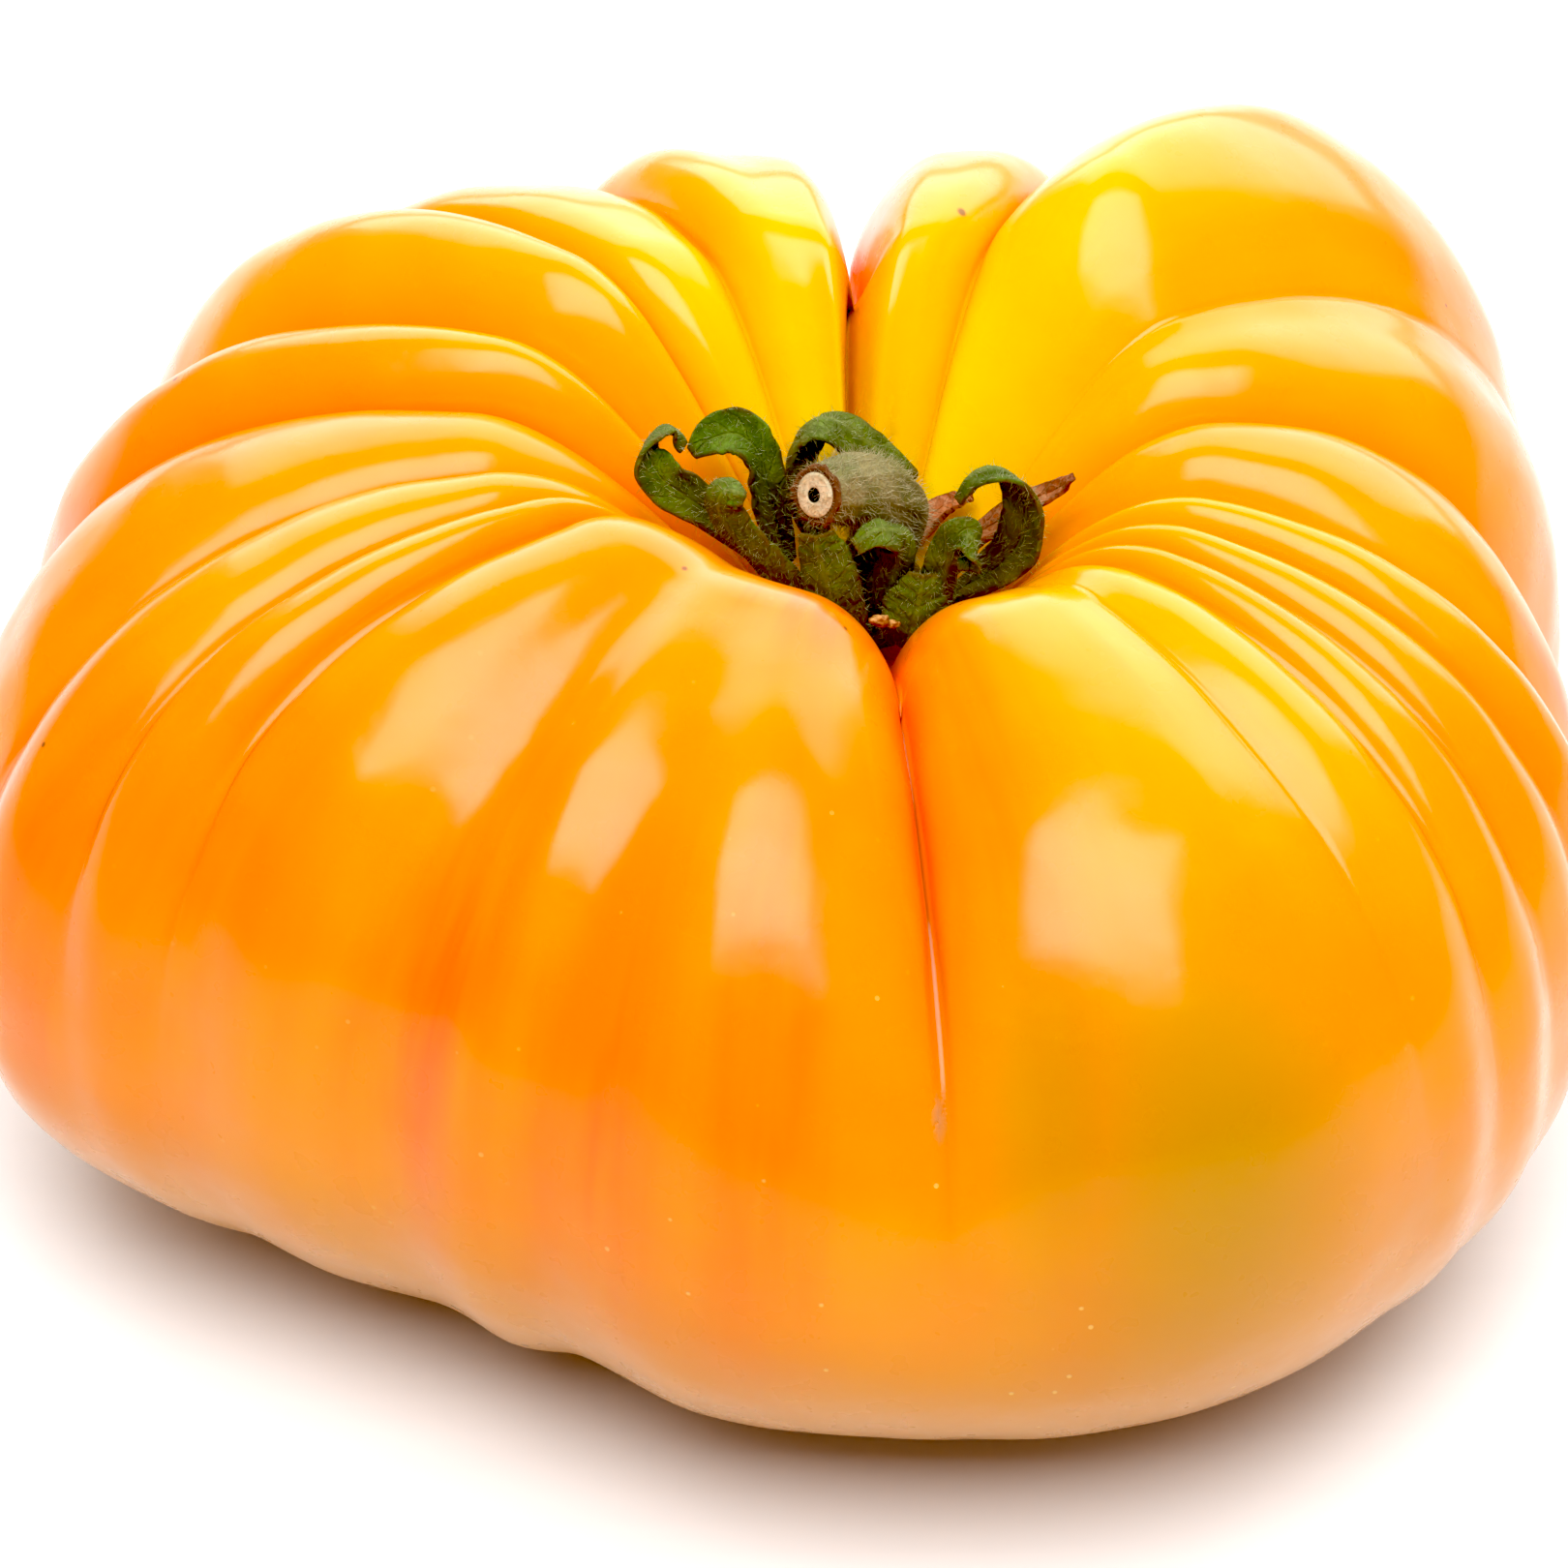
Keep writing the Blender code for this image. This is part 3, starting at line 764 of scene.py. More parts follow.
@dataclass
class Fruit:
    """The ribbed fruit: rounded rolls between creases, a stem pit and a blossom dimple."""

    foot: Vector
    pit_floor: float = 38.7
    pit_flat: float = 0.18
    belly_height: float = 27.0
    rest_radius: float = 22.0
    flattening: float = 0.5
    dimple: float = 2.5
    shoulder_power: float = 2.1
    underside_power: float = 2.3
    degrees_per_column: float = 0.86
    crowding: float = 0.45
    swell: float = 0.22
    deep_crease: float = 3.0
    fading: tuple = (1.0, 2.3)
    softening: tuple = (1.3, 2.1)
    onset: tuple = (0.8, 1.3)
    rib_widths: tuple = (12, 24)
    round_limits: tuple = (0.5, 0.8)
    pit_wall_power: float = 1.1
    pit_crease_power: float = 0.8
    lumps_from: tuple = (0.3, 0.9)
    lumps_until: tuple = (2.3, 2.8)
    # Where the painted underside shade and floor reflection start, and how strong they are.
    underside_shade_from: tuple = (1.85, 2.4)
    underside_shade_share: float = 0.95
    grain_stretch: float = 0.12
    rows: dict = field(default_factory=lambda: {"pit": 52, "shoulder": 74, "underside": 56, "dimple": 18})

    def around(self, bearing: np.ndarray, values: np.ndarray) -> np.ndarray:
        """Read one column of the outline at any bearing, with no overshoot between its points.

        Args:
            bearing: the bearings to read it at.
            values: the column, one number for each rib point.

        Returns:
            The column's value at each bearing.
        """
        first = OUTLINE[0].bearing
        knots = np.array([point.bearing for point in OUTLINE] + [first + 360.0])
        heights = np.append(values, values[0])
        steps = np.diff(knots)
        slopes = np.diff(heights) / steps
        before = np.roll(slopes, 1)
        same_way = slopes * before > 0
        total = np.where(same_way, slopes + before, 1.0)
        tangents = np.where(same_way, 2.0 * slopes * before / total, 0.0)
        tangents = np.append(tangents, tangents[0])
        place = (bearing - first) % 360.0 + first
        index = np.clip(np.searchsorted(knots, place, side="right") - 1, 0, len(steps) - 1)
        step = steps[index]
        u = (place - knots[index]) / step
        start = (1 + 2 * u) * (1 - u) ** 2 * heights[index] + u * (1 - u) ** 2 * step * tangents[index]
        end = u * u * (3 - 2 * u) * heights[index + 1] + u * u * (u - 1) * step * tangents[index + 1]
        return start + end

    def columns(self) -> tuple[np.ndarray, np.ndarray]:
        """Return, for each column of vertices, its crease's number and how far it is to the next."""
        numbers, shares = [], []
        for index, crease in enumerate(CREASES):
            width = (CREASES[(index + 1) % len(CREASES)].bearing - crease.bearing) % 360
            even = np.arange(max(8, round(width / self.degrees_per_column)))
            share = even / len(even)
            shares.append(share - self.crowding * np.sin(math.tau * share) / math.tau)
            numbers.append(np.full(len(even), index))
        return np.concatenate(numbers), np.concatenate(shares)

    def stations(self) -> np.ndarray:
        """Return the station of each row, one unit for each leg of the section."""
        rows = [leg + step / count for leg, count in enumerate(self.rows.values()) for step in range(count)]
        return np.array(rows + [float(len(self.rows))])[:, None]

    def fade(self, crease: np.ndarray, station: np.ndarray) -> np.ndarray:
        """Weaken a crease toward the pit floor and the belly.

        Args:
            crease: the columns of the crease table beside each place.
            station: the station of each place.

        Returns:
            The share of the crease's depth that is left.
        """
        under = crease[5]
        below = 1 - (1 - under) * smooth_step(*self.fading, station)
        below = np.where(station > 3, under * np.clip(4 - station, 0, 1), below)
        left = np.where(station < 1, np.clip(station, 0, 1) ** self.pit_crease_power, below)
        return left * (1 - crease[6] * (1 - smooth_step(*self.onset, station)))

    def drop(self, crease: np.ndarray, distance: np.ndarray, width: np.ndarray,
             station: np.ndarray) -> np.ndarray:
        """Lower the skin beside one crease.

        Args:
            crease: the columns of the crease table beside each place.
            distance: how far each place is from the crease, in degrees.
            width: how far apart the two creases beside the place are, in degrees.
            station: the station of each place.

        Returns:
            How far the skin drops, in millimetres.
        """
        widest_round = width * np.interp(width, self.rib_widths, self.round_limits)
        share = np.clip(distance / np.minimum(crease[2], widest_round), 0, 1)
        rounded = 1 - np.sqrt(np.clip(1 - (1 - share) ** 2, 0, 1))
        wave = (1 + np.cos(math.pi * share)) / 2
        soft = crease[6] + (1 - crease[6]) * smooth_step(*self.softening, station)
        return crease[1] * (rounded * (1 - soft) + wave * soft) * self.fade(crease, station)

    def section(self, reach: np.ndarray, crest_height: np.ndarray, crest_radius: np.ndarray,
                station: np.ndarray) -> tuple[np.ndarray, np.ndarray]:
        """Draw the section of a rib, down the pit wall and round to the blossom end.

        Args:
            reach: how far the belly is from the stem axis.
            crest_height: the height of the crest.
            crest_radius: how far the crest is from the stem axis.
            station: the station of each place.

        Returns:
            The radius and the height of each place.
        """
        pit = np.clip(station, 0, 1)
        climb = np.clip((pit - self.pit_flat) / (1 - self.pit_flat), 0, 1)
        wall = np.sin(climb * math.pi / 2) ** self.pit_wall_power
        upper = np.clip(station - 1, 0, 1) * math.pi / 2
        lower = np.clip(station - 2, 0, 1) * math.pi / 2
        middle = np.clip(station - 3, 0, 1)
        floor = self.pit_floor + self.flattening
        shoulder, under = 2 / self.shoulder_power, 2 / self.underside_power
        legs = [
            (crest_radius * pit, floor + (crest_height - floor) * wall),
            (crest_radius + (reach - crest_radius) * np.sin(upper) ** shoulder,
             self.belly_height + (crest_height - self.belly_height) * np.cos(upper) ** shoulder),
            (self.rest_radius + (reach - self.rest_radius) * np.cos(lower) ** under,
             self.belly_height - self.belly_height * np.sin(lower) ** under + 0 * reach),
            (self.rest_radius * (1 - middle) + 0 * reach,
             self.dimple * (1 - np.cos(math.pi * middle)) / 2 + 0 * reach),
        ]
        leg = np.clip(np.floor(station), 0, 3)
        radius = np.select([leg == n for n in range(4)], [item[0] for item in legs])
        height = np.select([leg == n for n in range(4)], [item[1] for item in legs])
        return radius, height

    def skin(self) -> tuple[np.ndarray, np.ndarray, np.ndarray, np.ndarray]:
        """Return the skin by row and column.

        Returns:
            The places in millimetres from the stem axis with height above the table, the
            bearings, the stations, and how near each place is to a crease, from 0 to 1, which
            the skin paints as shade.
        """
        numbers, share = self.columns()
        table = np.array([astuple(crease) for crease in CREASES])
        this, following = table[numbers], table[(numbers + 1) % len(CREASES)]
        station = self.stations()
        at_stem = np.clip(1 - station, 0, 1)
        out = np.clip(station - 1, 0, 1)
        at_belly = out * out * (3 - 2 * out)
        first = this[:, 0] + this[:, 3] * at_stem + this[:, 4] * at_belly
        second = following[:, 0] + following[:, 3] * at_stem + following[:, 4] * at_belly
        width = (second - first) % 360
        bearing = first + share * width
        outline = np.array([astuple(point) for point in OUTLINE], float)
        reach, crest_height, crest_radius = (self.around(bearing, outline[:, n]) for n in (1, 2, 3))
        station = station + 0 * bearing
        radius, height = self.section(reach, crest_height, crest_radius, station)
        along_r, along_z = np.gradient(radius, axis=0), np.gradient(height, axis=0)
        length = np.hypot(along_r, along_z) + 1e-9
        before = self.drop(this.T, share * width, width, station)
        after = self.drop(following.T, (1 - share) * width, width, station)
        radius = np.maximum(radius + along_z / length * (before + after), 0)
        height = np.maximum(height - along_r / length * (before + after) - self.flattening, 0)
        angle = np.radians(bearing)
        places = np.stack([radius * np.cos(angle), radius * np.sin(angle), height], axis=-1)
        places[0] = (0, 0, self.pit_floor)
        places[-1] = (0, 0, self.dimple - self.flattening)
        share_here = before / this[:, 1] + after / following[:, 1]
        # How near each place is to a crease, painted on the skin as shade.
        crease_shade = np.clip(share_here, 0, 1) ** 2 * np.clip((before + after) / self.deep_crease, 0, 1)
        return places, bearing, station, crease_shade

    def tint(self, name: str, bearing: np.ndarray, station: np.ndarray) -> np.ndarray:
        """Add up one tint from its patches.

        Args:
            name: the tint.
            bearing: the bearing of each place.
            station: the station of each place.

        Returns:
            The strength of the tint at each place, from 0 to 1.
        """
        total = np.zeros_like(bearing)
        for patch in PATCHES:
            if patch.tint == name:
                turn = (bearing - patch.bearing + 180) % 360 - 180
                spread = (turn / patch.width) ** 2 + ((station - patch.station) / patch.length) ** 2
                total = np.maximum(total, patch.strength * np.exp(-spread))
        return total

    def speck_places(self, places: np.ndarray, bearing: np.ndarray,
                     station: np.ndarray) -> list[tuple[Vector, float]]:
        """Find where each speck is on the skin.

        Args:
            places: the skin, in millimetres from the stem axis.
            bearing: the bearing of each place.
            station: the station of each place.

        Returns:
            The place of each speck in metres, with its radius in millimetres.
        """
        found = []
        for speck in SPECKS:
            turn = (bearing - speck.bearing + 180) % 360 - 180
            gap = np.abs(turn) / 20 + np.abs(station - speck.station)
            row, column = np.unravel_index(np.argmin(gap), gap.shape)
            found.append((Vector(places[row, column]) * MM + self.axis(), speck.radius))
        return found

    def axis(self) -> Vector:
        """Return the stem axis at the height of the table, in metres."""
        return Vector((self.foot.x, self.foot.y, self.foot.z - self.pit_floor * MM))

    def build(self) -> bpy.types.Object:
        """Build, paint and register the skin."""
        places, bearing, station, crease_shade = self.skin()
        rows, columns = places.shape[0] - 1, places.shape[1]
        mesh, row, column = ball_grid("tomato_skin", rows, columns)
        on_axis = places[row, column]
        move_vertices(mesh, on_axis * MM + np.array(self.axis()))
        where = station[row, column]
        free = smooth_step(*self.lumps_from, where) * (1 - smooth_step(*self.lumps_until, where))
        swell = ripple(on_axis, 11.0, 3.7) + 0.5 * ripple(on_axis, 5.0, 9.1)
        lift = vertex_normals(mesh) * (swell * free * self.swell * MM)[:, None]
        move_vertices(mesh, on_axis * MM + np.array(self.axis()) + lift)
        for name in TINTS:
            paint(mesh, name, self.tint(name, bearing, station)[row, column])
        # Painted shade in the creases, read by the skin's material.
        paint(mesh, "crease", crease_shade[row, column])
        # Painted shade with a painted floor reflection: darker and pinker from the belly down.
        paint(mesh, "underside_shade_and_reflection", self.underside_shade_share * smooth_step(*self.underside_shade_from, where))
        angle = np.radians(bearing[row, column])
        paint(mesh, "grain", np.stack([np.cos(angle), np.sin(angle), where * self.grain_stretch], axis=-1))
        piece = link_piece("tomato_skin", mesh)
        mesh.materials.append(SkinFinish().make(self.speck_places(places, bearing, station)))
        return register(piece, Slot.SKIN, "fruit")


@dataclass
class BlossomScar:
    """The small corky scar in the dimple underneath."""

    foot: Vector
    radius: float = 2.2
    height: float = 1.95
    thickness: float = 0.5
    hollow: float = 0.12
    rings: int = 12
    segments: int = 40

    def build(self) -> bpy.types.Object:
        """Build a ragged thin disc with a raised rim and register it."""
        mesh, row, column = ball_grid("blossom_scar", self.rings, self.segments)
        angle = column / self.segments * math.tau
        share = np.sin(row / self.rings * math.pi)
        ragged = 1 + 0.18 * np.sin(5 * angle) + 0.08 * np.sin(11 * angle + 1.0)
        radius = self.radius * share * ragged
        dish = self.hollow * np.sin(share * math.pi)
        lift = np.cos(row / self.rings * math.pi) * self.thickness / 2 - dish
        places = np.stack([radius * np.cos(angle), radius * np.sin(angle), self.height + lift], axis=-1)
        ground = np.array((self.foot.x, self.foot.y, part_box("fruit")[0].z))
        move_vertices(mesh, places * MM + ground)
        piece = link_piece("blossom_scar", mesh)
        finish = FibreFinish("corky_scar", srgb(176, 128, 84), srgb(92, 56, 30), 1500.0, 0.85)
        mesh.materials.append(finish.make())
        return register(piece, Slot.DRY)


# The calyx ----------------------------------------------------------------------------------

SEPALS = {
    "right_loop": [
        (6.0, -1.4, 5.6, 2.2, 175, 50), (8.7, -3.4, 9.5, 3.4, -160, 35),
        (10.3, -4.6, 12.5, 3.9, -135, 20), (10.8, -5.2, 16.0, 3.4, -125, 0),
        (10.0, -5.4, 18.6, 2.8, -115, -40), (8.4, -5.4, 19.6, 2.4, -100, -75),
        (6.9, -5.2, 18.8, 2.0, 0, -60), (6.0, -5.0, 17.0, 1.2, 0, -25)],
    "right_fold": [
        (4.9, -3.9, 6.0, 2.2, 130, 30), (4.8, -5.1, 9.2, 2.8, 110, 20),
        (5.2, -5.9, 12.0, 3.0, 100, 20), (6.2, -6.2, 14.6, 3.0, 90, -10),
        (7.0, -7.0, 14.4, 2.4, 170, -50), (6.8, -7.8, 12.8, 1.4, -100, -10)],
    "front_right": [
        (2.3, -5.7, 5.0, 2.2, 100, 20), (2.8, -7.2, 7.4, 4.4, 95, 25),
        (3.3, -7.6, 10.0, 4.2, 90, 15), (3.6, -7.2, 12.2, 2.0, 90, -5)],
    "front_curl": [
        (0.4, -4.8, 6.6, 2.0, 95, 10), (1.2, -5.4, 9.5, 2.6, 95, 10),
        (1.9, -5.7, 12.6, 2.6, 95, 0), (1.9, -6.4, 14.8, 2.6, 170, -50),
        (0.4, -7.2, 15.8, 2.4, 100, -75), (-1.2, -7.9, 15.0, 1.2, 60, -50)],
    "front": [
        (-1.1, -6.1, 5.6, 2.2, 80, 20), (-2.2, -7.2, 8.8, 3.8, 80, 20),
        (-2.9, -7.6, 11.6, 4.2, 78, 10), (-3.5, -7.6, 14.2, 3.6, 76, 0), (-3.8, -7.5, 15.8, 2.4, 76, -5)],
    "front_left": [
        (-4.3, -4.4, 6.4, 2.2, 45, 40), (-6.5, -4.8, 10.2, 3.4, 60, 30),
        (-8.9, -4.8, 13.0, 3.6, 70, 25), (-10.4, -4.8, 16.0, 3.2, 60, 5),
        (-9.9, -5.0, 17.6, 2.4, 30, -40), (-8.7, -5.2, 17.2, 1.2, 0, -60)],
    "left_hook": [
        (-6.0, -1.2, 6.0, 2.2, 0, 50), (-8.6, -1.1, 10.0, 2.8, -20, 45),
        (-12.0, -1.8, 14.0, 3.2, -50, 35), (-14.6, -2.4, 16.8, 3.2, -60, 10),
        (-15.4, -1.7, 18.8, 2.8, -50, -20), (-14.2, -0.4, 19.6, 2.4, -60, -60),
        (-13.0, -0.4, 18.2, 1.4, 180, -40)],
    "left_leaf": [
        (-5.7, 1.9, 6.0, 2.2, -20, 40), (-6.8, 1.8, 10.5, 2.8, -50, 10),
        (-7.3, 1.6, 13.5, 3.0, -60, 10), (-7.8, 1.8, 15.8, 3.0, -50, 45),
        (-9.1, 2.4, 17.0, 3.6, -80, 65), (-10.9, 2.4, 16.8, 3.2, -100, 65),
        (-12.5, 1.6, 16.0, 1.0, -120, 55)],
    "back_arch": [
        (-3.6, 5.0, 6.2, 2.2, -50, 30), (-5.0, 5.2, 10.5, 3.4, -35, 0),
        (-5.1, 5.1, 13.2, 4.0, -35, -5), (-4.5, 5.2, 15.3, 4.2, -40, -40),
        (-3.2, 5.1, 16.2, 4.0, -60, -75), (-1.0, 5.3, 14.9, 3.4, 125, -53),
        (1.3, 5.6, 12.7, 2.8, 125, -50), (3.4, 5.9, 10.8, 1.2, 125, -50)],
    "dry_right": [
        (5.6, 2.0, 6.0, 2.0, -175, 50), (8.6, 1.0, 10.0, 2.4, -160, 45),
        (11.1, -1.0, 13.6, 2.0, -150, 45), (12.9, -2.6, 16.0, 1.4, -140, 45),
        (14.0, -3.3, 17.6, 0.7, -140, 45)],
    "dry_back": [
        (3.2, 5.0, 6.0, 2.0, -130, 50), (4.7, 5.8, 7.6, 2.0, -120, 60),
        (6.2, 5.7, 8.8, 1.6, -110, 70), (7.4, 5.2, 9.6, 0.7, -100, 70)],
}


@dataclass
class Sepal:
    """One withered sepal: a thin strip with a midrib, side veins, curled and ragged edges."""

    foot: Vector
    name: str
    rows: list
    seed: float
    cup: float = 0.16
    rib: float = 0.22
    crinkle: float = 0.22
    ragged: float = 0.12
    thickness: float = 0.75
    thinnest: float = 0.45
    columns_per_row: int = 10
    across: int = 12
    midrib_width: float = 0.16
    vein_height: float = 0.022
    vein_pitch: float = 46.0
    vein_slant: float = 7.0

    @property
    def dry(self) -> bool:
        """Return whether this sepal has withered to brown."""
        return self.name.startswith("dry")

    def frames(self, count: int) -> list[tuple[Vector, Vector, Vector, float]]:
        """Follow the sepal from its foot to its tip.

        Args:
            count: how many places to take.

        Returns:
            The centre, the side and inner-face directions and the width at each.
        """
        table = []
        for x, y, z, width, bearing, tilt in self.rows:
            flat = math.cos(math.radians(tilt))
            face = (flat * math.cos(math.radians(bearing)), flat * math.sin(math.radians(bearing)),
                    math.sin(math.radians(tilt)))
            table.append((x, y, z, width, *face))
        path = smooth_path(table, count)
        ahead = np.gradient(path[:, :3], axis=0)
        frames = []
        for sample, step in zip(path, ahead):
            tangent = Vector(step).normalized()
            side = tangent.cross(Vector(sample[4:7])).normalized()
            frames.append((Vector(sample[:3]), side, side.cross(tangent), sample[3]))
        return frames

    def place(self, frame_here: tuple, along: float, edge: float) -> Vector:
        """Return one point of the strip.

        Args:
            frame_here: centre, side and face directions and width at this station.
            along: 0 at the foot and 1 at the tip.
            edge: -1 and 1 at the two edges, 0 at the midrib.

        Returns:
            The place in millimetres from the foot of the stem.
        """
        centre, side, face, width = frame_here
        tatter = 1 + self.ragged * noise.noise(Vector((along * 14, edge * 0.8 + self.seed, 2.0)))
        groove = -self.rib * math.exp(-(edge / self.midrib_width) ** 2)
        drift = 5 * noise.noise(Vector((along * 7, edge * 1.5, self.seed)))
        phase = along * self.vein_pitch - abs(edge) * self.vein_slant + drift
        veins = self.vein_height * width * math.sin(phase) * abs(edge)
        fold = self.crinkle * noise.noise(Vector((along * 9, edge * 1.6, self.seed)))
        curl = self.cup * width * edge * edge * (1 + 0.5 * noise.noise(Vector((along * 4, self.seed, 5.0))))
        return centre + side * edge * width / 2 * tatter + face * (curl + groove + veins + fold)

    def build(self, finishes: dict) -> bpy.types.Object:
        """Build, dress and register the sepal.

        Args:
            finishes: the back, face and dry materials by name.

        Returns:
            The finished piece.
        """
        along_count = self.columns_per_row * len(self.rows)
        frames = self.frames(along_count + 1)
        mesh = bpy.data.meshes.new("leaf_" + self.name)
        leaf = bmesh.new()
        leaf.loops.layers.uv.new("UVMap")
        bmesh.ops.create_grid(leaf, x_segments=along_count, y_segments=self.across, size=1.0, calc_uvs=True)
        thick = leaf.verts.layers.deform.new()
        for vertex in leaf.verts:
            along, edge = (vertex.co.x + 1) / 2, vertex.co.y
            body = max(0.0, 1 - along * 1.2) * (1 - 0.5 * edge * edge) + 0.25 * math.exp(-(edge / 0.2) ** 2)
            vertex[thick][0] = min(1.0, body)
            vertex.co = self.place(frames[round(along * along_count)], along, edge) * MM + self.foot
        leaf.to_mesh(mesh)
        leaf.free()
        piece = link_piece("leaf_" + self.name, mesh)
        piece.vertex_groups.new(name="body")
        mesh.materials.append(finishes["dry"] if self.dry else finishes["back"])
        mesh.materials.append(finishes["dry"] if self.dry else finishes["face"])
        shell = piece.modifiers.new("thickness", "SOLIDIFY")
        shell.thickness = self.thickness * MM
        shell.offset = 0.0
        shell.vertex_group = "body"
        shell.thickness_vertex_group = self.thinnest
        shell.material_offset = 1
        round_off = piece.modifiers.new("round_off", "SUBSURF")
        round_off.levels = 1
        round_off.render_levels = 1
        return register(piece, Slot.DRY if self.dry else Slot.CALYX, "sepal_" + self.name)


@dataclass
class StemStub:
    """The bent stub: a swollen hairy knuckle, a torn collar and the cut face with its pith hole."""

    foot: Vector
    segments: int = 56
    length_rows: int = 60
    pith_radius: float = 0.48
    pith_depth: float = 1.4
    lip: float = 0.18
    path: tuple = (
        (0.0, 0.0, 5.1, 2.3), (0.2, 0.1, 6.6, 2.3), (1.3, 0.6, 9.6, 2.4), (1.3, -0.1, 12.8, 2.6),
        (-0.4, -2.2, 15.6, 2.65), (-2.4, -4.2, 17.0, 2.35), (-3.5, -5.3, 17.6, 2.1),
        (-4.0, -5.8, 17.9, 1.6))

    def frames(self) -> list[tuple[Vector, Vector, Vector, Vector, float]]:
        """Return centre, two side directions, the direction ahead and the radius along the stub."""
        path = smooth_path(list(self.path), self.length_rows + 1)
        ahead = np.gradient(path[:, :3], axis=0)
        first_side = Vector((1, 0, 0))
        frames = []
        for sample, step in zip(path, ahead):
            tangent = Vector(step).normalized()
            first_side = (first_side - tangent * first_side.dot(tangent)).normalized()
            frames.append((Vector(sample[:3]), first_side, tangent.cross(first_side), tangent, sample[3]))
        return frames

    def profile(self) -> list[tuple[int, float, float, float, float]]:
        """Return, from the bottom of the pith hole to the stub's foot, one row for each ring.

        Returns:
            The number along the path, the share of the radius there (or, for the hole and face,
            the radius in millimetres), the setback from the cut, and the cut and hole paint.
        """
        last, cut = self.length_rows, self.path[-1][3]
        pith, deep = self.pith_radius, self.pith_depth
        rows = [(last, 0.0, deep, 1, 1), (last, pith * 0.8, deep, 1, 1), (last, pith * 0.95, deep / 2, 1, 1),
                (last, pith, 0.1, 1, 0.9), (last, pith + 0.1, 0.0, 1, 0.2)]
        rows += [(last, radius, 0.02, 1, 0) for radius in np.linspace(pith + 0.3, cut - 0.32, 5)]
        rows += [(last, cut - 0.12, 0.03, 1, 0), (last, cut, self.lip, 0.45, 0),
                 (last, cut + 0.08, 2.2 * self.lip, 0, 0)]
        outside = [(index, -1.0, 0.0, 0, 0) for index in range(last - 2, -1, -1)]
        return rows + outside + [(0, 0.0, 0.0, 0, 0)]

    def build(self, finish: bpy.types.Material) -> bpy.types.Object:
        """Build, paint and register the stub.

        Args:
            finish: the stub's material.

        Returns:
            The finished piece.
        """
        frames, profile = self.frames(), self.profile()
        mesh, row, column = ball_grid("stem_cut", len(profile) - 1, self.segments)
        places, cut, hole, collar, low = [], [], [], [], []
        for r, c in zip(row, column):
            index, radius, setback, is_cut, is_hole = profile[r]
            centre, across, up, tangent, full = frames[index]
            angle = c / self.segments * math.tau
            along = index / self.length_rows
            if radius < 0:
                grain = noise.noise(Vector((math.cos(angle) * 2.2, math.sin(angle) * 2.2, along * 7)))
                ridge = noise.noise(Vector((math.cos(angle) * 5, math.sin(angle) * 5, along * 3 + 8)))
                torn = math.exp(-((along - 0.93) / 0.03) ** 2)
                fray = abs(noise.noise(Vector((math.cos(angle) * 4, math.sin(angle) * 4, 3.0))))
                radius = full * (1 + 0.13 * grain + 0.08 * ridge) + torn * (0.15 + 0.75 * fray)
            place = centre + (across * math.cos(angle) + up * math.sin(angle)) * radius - tangent * setback
            places.append(place * MM + self.foot)
            cut.append(is_cut)
            hole.append(is_hole)
            collar.append(0.0 if is_cut > 0.5 else math.exp(-((along - 0.97) / 0.12) ** 2))
            low.append(max(0.0, 1 - along / 0.35))
        move_vertices(mesh, np.array(places))
        for name, values in (("cut", cut), ("hole", hole), ("collar", collar), ("low", low)):
            paint(mesh, name, np.array(values, float))
        piece = link_piece("stem_cut", mesh)
        mesh.materials.append(finish)
        return register(piece, Slot.STEM, "stem_stub")


@dataclass
class CalyxBase:
    """The green disc that carries the sepals and the stem, lobed where each sepal starts."""

    underside = 1.1

    foot: Vector
    segments: int = 72
    profile: tuple = ((0.0, 4.6), (1.7, 4.6), (3.4, 4.6), (4.3, 4.75), (4.9, 4.85), (5.25, 4.7), (5.1, 4.2),
                      (4.5, 3.6), (3.7, 2.8), (2.9, 2.0), (1.5, 1.5), (0.0, 1.1))

    def build(self, finish: bpy.types.Material) -> bpy.types.Object:
        """Build, dress and register the disc.

        Args:
            finish: the disc's material.

        Returns:
            The finished piece.
        """
        mesh, row, column = ball_grid("calyx_disc", len(self.profile) - 1, self.segments)
        angle = column / self.segments * math.tau
        profile = np.array(self.profile)
        lobes = 1 - 0.05 * (1 + np.cos(11 * angle)) * (profile[row, 0] / 5.3)
        radius = profile[row, 0] * lobes
        places = np.stack([radius * np.cos(angle), radius * np.sin(angle), profile[row, 1]], axis=-1)
        move_vertices(mesh, places * MM + np.array(self.foot))
        piece = link_piece("calyx_disc", mesh)
        mesh.materials.append(finish)
        return register(piece, Slot.CALYX, "calyx_base")


